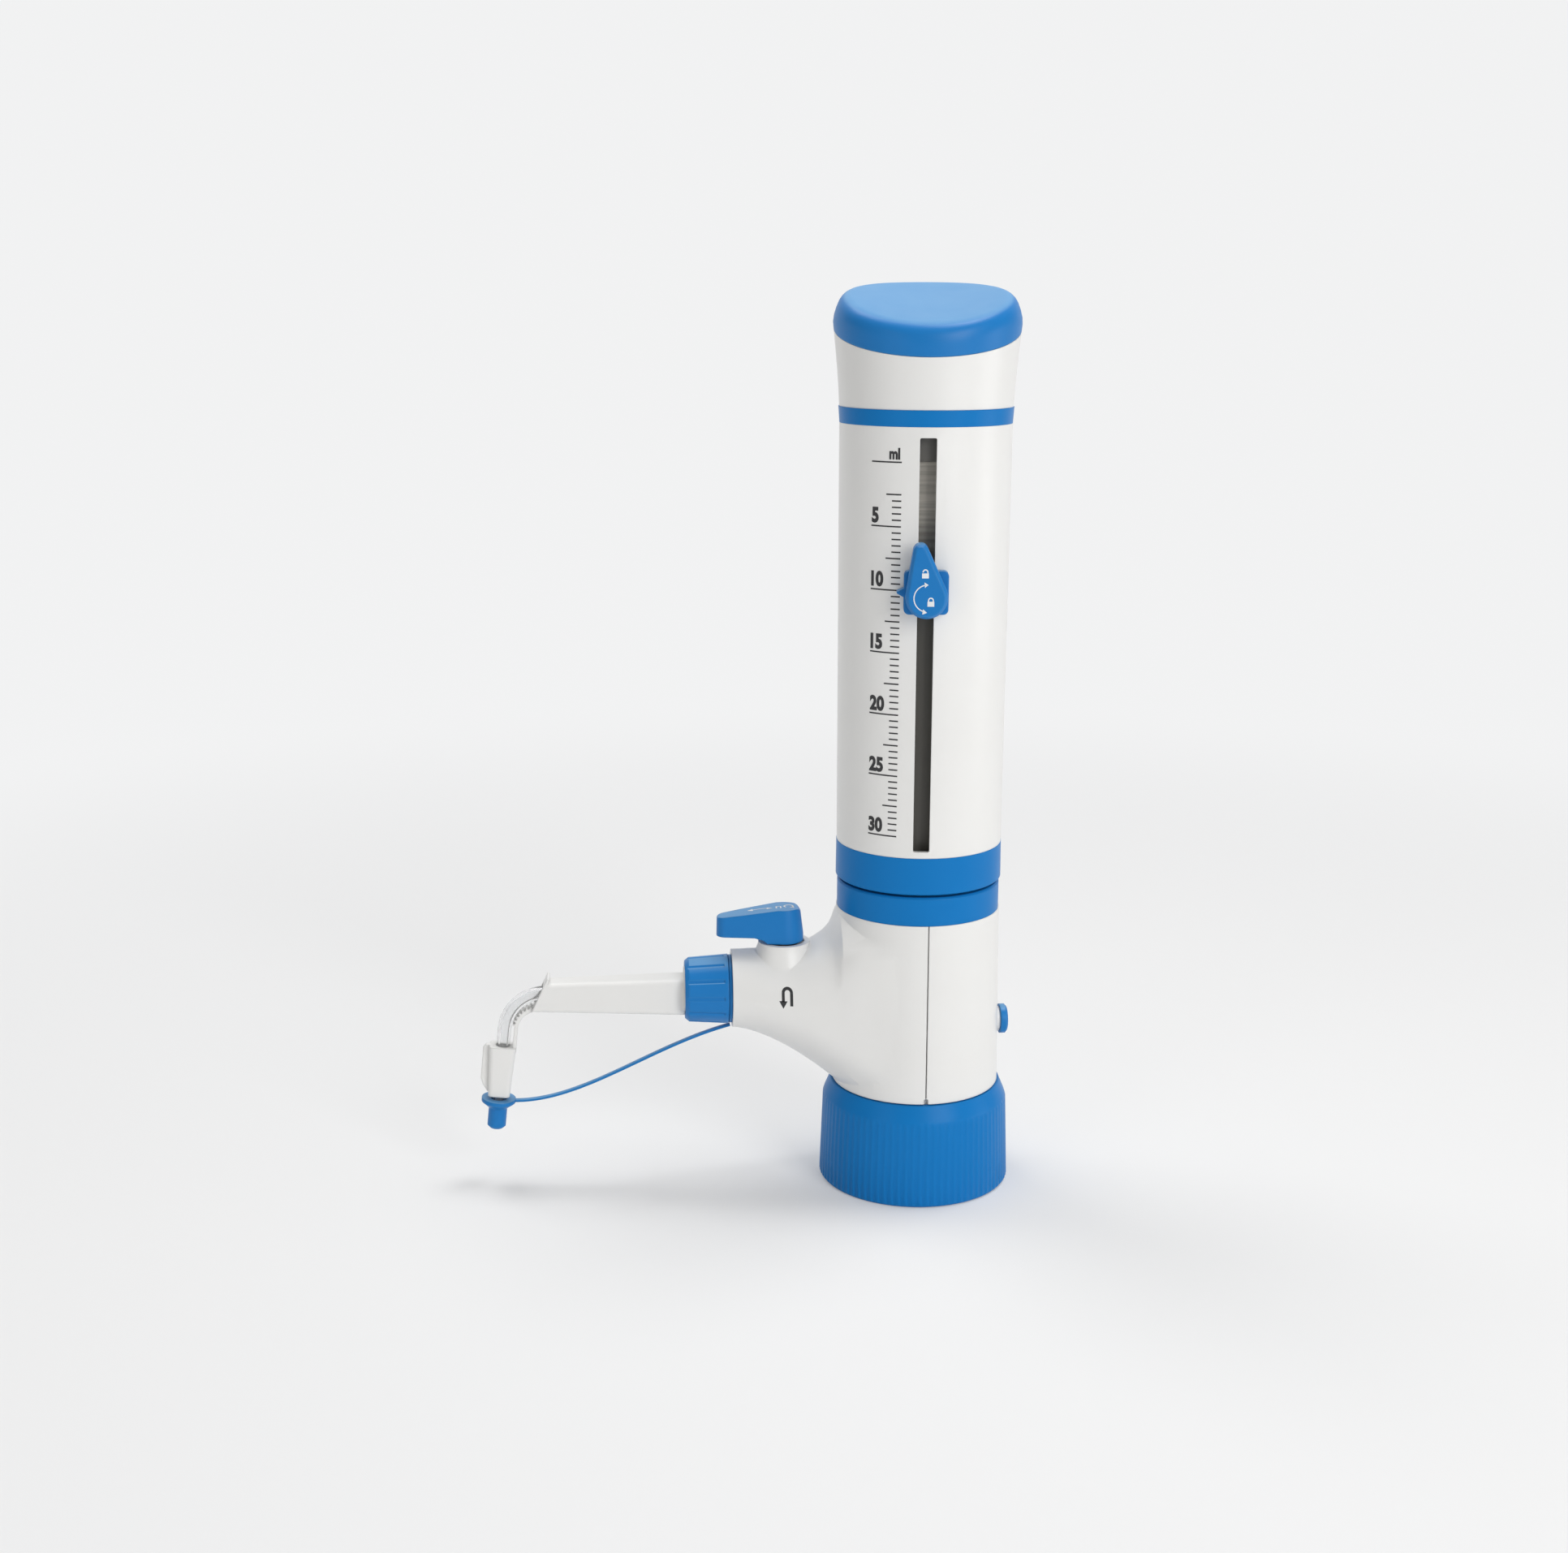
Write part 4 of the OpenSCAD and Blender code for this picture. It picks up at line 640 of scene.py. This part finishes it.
# Scale numbers: the plain number printed over each long line, with the unit over the first. They
# are of the same ink, drawn flat and laid round the sleeve.
print_radius = 24.3
degree = print_radius * math.pi / 180  # millimetres round the sleeve in one degree
unit_left = -25.6
unit_lift = 0.7
unit_tall = 3.2
unit_squeeze = 0.8
number_left = -38.2
number_lift = 0.75
number_tall = 4.4
number_squeeze = 0.84
scale_words = [("ml", unit_left, scale_zero + unit_lift, unit_tall, unit_squeeze)]
for ml in (5, 10, 15, 20, 25, 30):
    foot = scale_zero - scale_step * ml + number_lift
    scale_words.append((str(ml), number_left, foot, number_tall, number_squeeze))
number_film = bmesh.new()
for text, left, foot, tall, squeeze in scale_words:
    pen = bpy.data.curves.new("scale_pen", "FONT")
    pen.body = text
    pen.size = 1.0
    pen.offset = 0.05
    pen.resolution_u = 4
    drawn_text = bpy.data.objects.new("scale_pen", pen)
    bpy.context.scene.collection.objects.link(drawn_text)
    bpy.context.view_layer.update()
    flat = bpy.data.meshes.new_from_object(
        drawn_text.evaluated_get(bpy.context.evaluated_depsgraph_get())
    )
    low_x = min(v.co.x for v in flat.vertices)
    low_y = min(v.co.y for v in flat.vertices)
    high_y = max(v.co.y for v in flat.vertices)
    scale = tall / (high_y - low_y)
    for v in flat.vertices:
        v.co.x = left * degree + (v.co.x - low_x) * scale * squeeze
        v.co.y = foot + (v.co.y - low_y) * scale
    number_film.from_mesh(flat)
    bpy.data.objects.remove(drawn_text)
    bpy.data.curves.remove(pen)
    bpy.data.meshes.remove(flat)
cut_in_cells(number_film, axis=0, cell=0.5)
scale_numbers = lay_film(
    "scale_numbers", number_film, lambda along, z: lay_on_sleeve(along / degree, z),
)
scale_numbers.data.materials.append(ink_black)
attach(scale_numbers, "sleeve_unit")

# Head: a white shell that widens upwards under the thumb, closed by the blue cap whose top is
# hollowed for the palm. Both are pressed on the plate that holds the rod. The blue parts that
# hands reach are duller, and their faces that point up carry a painted top light, paler and a
# little uneven.
painted_top_light, given, made = new_group(
    "painted_top_light",
    (
        ("Colour", "NodeSocketColor", (0.5, 0.5, 0.5, 1)),
        ("Pale Colour", "NodeSocketColor", (0.5, 0.5, 0.5, 1)),
        ("Share", "NodeSocketFloat", 0.0),
    ),
    (("Colour", "NodeSocketColor"),),
)
# painted top light: faces that point up are mixed towards a paler colour, a little unevenly, for
# light from above
spot = painted_top_light.nodes.new("ShaderNodeTexCoord")
faces_up = painted_top_light.nodes.new("ShaderNodeSeparateXYZ")
smear = painted_top_light.nodes.new("ShaderNodeTexNoise")
smear.inputs["Scale"].default_value = 140
smear_share = painted_top_light.nodes.new("ShaderNodeMapRange")
smear_share.inputs["To Min"].default_value = 0.8
smear_share.inputs["To Max"].default_value = 1.1
flat_top = painted_top_light.nodes.new("ShaderNodeMapRange")
flat_top.interpolation_type = "SMOOTHSTEP"
flat_top.inputs["From Min"].default_value = 0.7
flat_top.inputs["From Max"].default_value = 0.97
uneven = painted_top_light.nodes.new("ShaderNodeMath")
uneven.operation = "MULTIPLY"
shared = painted_top_light.nodes.new("ShaderNodeMath")
shared.operation = "MULTIPLY"
painted_top_light.links.new(spot.outputs["Normal"], faces_up.inputs[0])
painted_top_light.links.new(faces_up.outputs["Z"], flat_top.inputs["Value"])
painted_top_light.links.new(spot.outputs["Object"], smear.inputs["Vector"])
painted_top_light.links.new(smear.outputs["Fac"], smear_share.inputs["Value"])
painted_top_light.links.new(flat_top.outputs["Result"], uneven.inputs[0])
painted_top_light.links.new(smear_share.outputs["Result"], uneven.inputs[1])
painted_top_light.links.new(uneven.outputs[0], shared.inputs[0])
painted_top_light.links.new(given.outputs["Share"], shared.inputs[1])
side_part, top_part, paled = mix_colours(painted_top_light, shared.outputs[0])
painted_top_light.links.new(given.outputs["Colour"], side_part)
painted_top_light.links.new(given.outputs["Pale Colour"], top_part)
painted_top_light.links.new(paled, made.inputs["Colour"])

blue_rounded = moulded_plastic(
    "blue_rounded", blue, blue_cloud, rubbed=(0.05, 0.28, 0.62),
    gloss=(0.36, 0.46), grain=3200.0, reach=0.0008, mirror=0.3,
)
tree = blue_rounded.node_tree
shader = tree.nodes["Principled BSDF"]
side_colour = shader.inputs["Base Color"].links[0].from_socket
# painted top light on the blue parts: paler blue where they face up
pale = tree.nodes.new("ShaderNodeGroup")
pale.node_tree = painted_top_light
pale.inputs["Pale Colour"].default_value = (0.13, 0.34, 0.6, 1)
pale.inputs["Share"].default_value = 0.85
tree.links.new(side_colour, pale.inputs["Colour"])
tree.links.new(pale.outputs["Colour"], shader.inputs["Base Color"])
finish_parts(white_moulding, "head_shell")
finish_parts(blue_rounded, "head_cap")
smooth_facets(38, "head_cap")

# Volume slider: a blue block that slides in front of the slot, with a pointer to the scale. The
# lever on it clamps it to the sleeve. The signs on the lever are white ink, drawn from its pivot:
# a bent arrow between an open padlock and a shut one.
finish_parts(blue_rounded, "slider_block", "lock_lever")
ink_white = moulded_plastic(
    "ink_white", (0.78, 0.79, 0.8), (0.72, 0.74, 0.76), rubbed=(0.85, 0.85, 0.85),
    gloss=(0.45, 0.6), grain=2200.0, bump=0.01, reach=0.0001,
)


def padlock(u, v, shut, size):
    # a square body under a bow; the bow's left leg ends above the body when the lock is open
    half = 1.15
    foot = v - 1.5
    top = v + 0.2
    bow_radius = 0.8
    free_end = top if shut else v + 0.5
    body = ((u - half, foot), (u + half, foot), (u + half, top), (u - half, top))
    bow = arc((u, v + 0.6), bow_radius, 0, 180, 8)
    shapes = [body] + band([(u + bow_radius, top)] + bow + [(u - bow_radius, free_end)], 0.42)
    return [
        tuple((u + (a - u) * size, v + (b - v) * size) for a, b in shape) for shape in shapes
    ]


front = (-math.sin(math.radians(slot_turn)), -math.cos(math.radians(slot_turn)), 0)
beside = (math.cos(math.radians(slot_turn)), -math.sin(math.radians(slot_turn)), 0)
lock_pivot = (-3.03, -27.43, 180.13)
arrow_up = ((0.4, 3.7), (-0.7, 4.4), (-0.6, 2.9))
arrow_down = ((0.1, -3.9), (-1.2, -4.4), (-1.0, -2.9))
mark_shapes = band(arc((0.2, 0), 3.7, 100, 252, 20), 0.3)
mark_shapes += [arrow_up, arrow_down]
mark_shapes += padlock(-0.5, 6.7, False, 0.8)
mark_shapes += padlock(1.1, -1.0, True, 0.8)
lock_marks = printed_film(
    "lock_marks", mark_shapes,
    laid_on(node["lock_lever"], lock_pivot, beside, (0, 0, 1), front), cell=0.8,
)
lock_marks.data.materials.append(ink_white)
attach(lock_marks, "lock")

# Valve lever: the blue tap handle on the snout, turned a quarter to send the liquid out or back.
# Printed in white are a ring arrow and a bent leg over the spindle, and a two-headed arrow along
# the arm, drawn from the spindle's axis.
finish_parts(blue_rounded, "valve_lever")
smooth_facets(34, "valve_lever")
ring_head = ((2.9, -1.6), (2.9, -0.2), (1.5, -0.9))
spindle_head = ((-3.4, -0.7), (-5.0, 0.6), (-5.2, -0.9))
arm_head = ((-10.9, 0.4), (-9.2, -0.6), (-9.2, 1.4))
tap_shapes = band(arc((1.4, 0.2), 1.3, -50, 230, 20), 0.5)
tap_shapes += [ring_head]
tap_shapes += band([(-2.3, -1.6), (-2.3, 0.2), (-1.0, 0.2), (-1.0, -1.6)], 0.45)
tap_shapes += band([(-4.6, -0.3), (-6.6, 0.4), (-9.6, 0.4)], 0.4)
tap_shapes += [spindle_head, arm_head]
tap_marks = printed_film(
    "tap_marks", tap_shapes,
    laid_on(node["valve_lever"], (-39.7, 0, 84), (1, 0, 0), (0, 1, 0), (0, 0, 1)), cell=0.8,
)
tap_marks.data.materials.append(ink_white)
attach(tap_marks, "tap")

# Nozzle: a blue union nut draws the white shroud and the clear discharge tube on to the snout.
# The shroud is one moulding with the spine and the clip that hold the tube's end, and the tube
# is bent from clear fluoropolymer.
finish_parts(blue_rounded, "union_nut")
white_rounded = moulded_plastic(
    "white_rounded", white, white_cloud, rubbed=white_rubbed,
    gloss=(0.3, 0.42), grain=2600.0, reach=0.0007,
)
finish_parts(white_rounded, "nozzle_shroud")
tube_clear = clear_material(
    "tube_clear", (0.97, 0.975, 0.98), bend=1.34, smooth=(0.03, 0.1), passes=0.92,
)
finish_parts(tube_clear, "discharge_tube")
smooth_facets(50, "discharge_tube")

# Tip cap and vent plug: soft blue mouldings pushed on the tube's end and into the housing's vent.
# Both have a small flange to pull them off by.
finish_parts(blue_rounded, "tip_cap", "vent_plug")

# Strap: one soft moulding with a loop that sits round the snout's neck under the nut, and a thin
# flat tail that runs on into the cap's flange. The real strap bends when the cap is pulled off;
# this mesh keeps one fixed shape.
loop_x = -55.8
loop_z = 59.2
loop_outer = 10.1
loop_inner = 8.1
loop_half = 0.5
loop_soft = 0.15
loop_steps = 72
tail_half_width = 0.9
tail_half_thick = 0.4
tail_steps = 48
tail_sides = 16
tail_cap_end = Vector((-120.2, 25.55))
tail_cap_pull = Vector((20.3, -0.7))
tail_loop_end = Vector((-55.8, 47.9))
tail_loop_pull = Vector((-23.9, -6.3))


def tail_point(t):
    # the tail's middle line, a curve from the cap to the loop seen from the front
    handles = (
        tail_cap_end, tail_cap_end + tail_cap_pull,
        tail_loop_end + tail_loop_pull, tail_loop_end,
    )
    shares = ((1 - t) ** 3, 3 * t * (1 - t) ** 2, 3 * t * t * (1 - t), t ** 3)
    return sum((h * share for h, share in zip(handles, shares)), Vector((0, 0)))


def squared(share):
    # pulls a round section out towards its corners
    return math.copysign(abs(share) ** 0.5, share)


def skin_rings(shape, rings):
    corners = len(rings[0])
    for low, high in zip(rings, rings[1:]):
        for k in range(corners):
            after = (k + 1) % corners
            shape.faces.new((low[k], high[k], high[after], low[after]))


strap_shape = bmesh.new()
tail_rings = []
for i in range(tail_steps + 1):
    t = i / tail_steps
    here = tail_point(t)
    along = (tail_point(min(1, t + 0.01)) - tail_point(max(0, t - 0.01))).normalized()
    ring = []
    for k in range(tail_sides):
        turn = 2 * math.pi * k / tail_sides
        across = tail_half_width * squared(math.cos(turn))
        thick = tail_half_thick * squared(math.sin(turn))
        ring.append(strap_shape.verts.new(
            Vector((here.x - along.y * thick, across, here.y + along.x * thick)) * mm
        ))
    tail_rings.append(ring)
skin_rings(strap_shape, tail_rings)
strap_shape.faces.new(tail_rings[0])
strap_shape.faces.new(reversed(tail_rings[-1]))
loop_profile = (
    (loop_outer - loop_soft, -loop_half), (loop_outer, -loop_half + loop_soft),
    (loop_outer, loop_half - loop_soft), (loop_outer - loop_soft, loop_half),
    (loop_inner, loop_half), (loop_inner, -loop_half),
)
loop_rings = []
for i in range(loop_steps):
    turn = 2 * math.pi * i / loop_steps
    loop_rings.append([
        strap_shape.verts.new(
            Vector((loop_x + x, r * math.sin(turn), loop_z + r * math.cos(turn))) * mm
        )
        for r, x in loop_profile
    ])
skin_rings(strap_shape, loop_rings + loop_rings[:1])
bmesh.ops.recalc_face_normals(strap_shape, faces=strap_shape.faces)
strap_mesh = bpy.data.meshes.new("soft_strap")
strap_shape.to_mesh(strap_mesh)
strap_shape.free()
strap_mesh.shade_smooth()
strap_mesh.set_sharp_from_angle(angle=math.radians(40))
strap_mesh.materials.append(blue_rounded)
soft_strap = bpy.data.objects.new("soft_strap", strap_mesh)
bpy.context.scene.collection.objects.link(soft_strap)
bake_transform(soft_strap)
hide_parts("cap_strap")
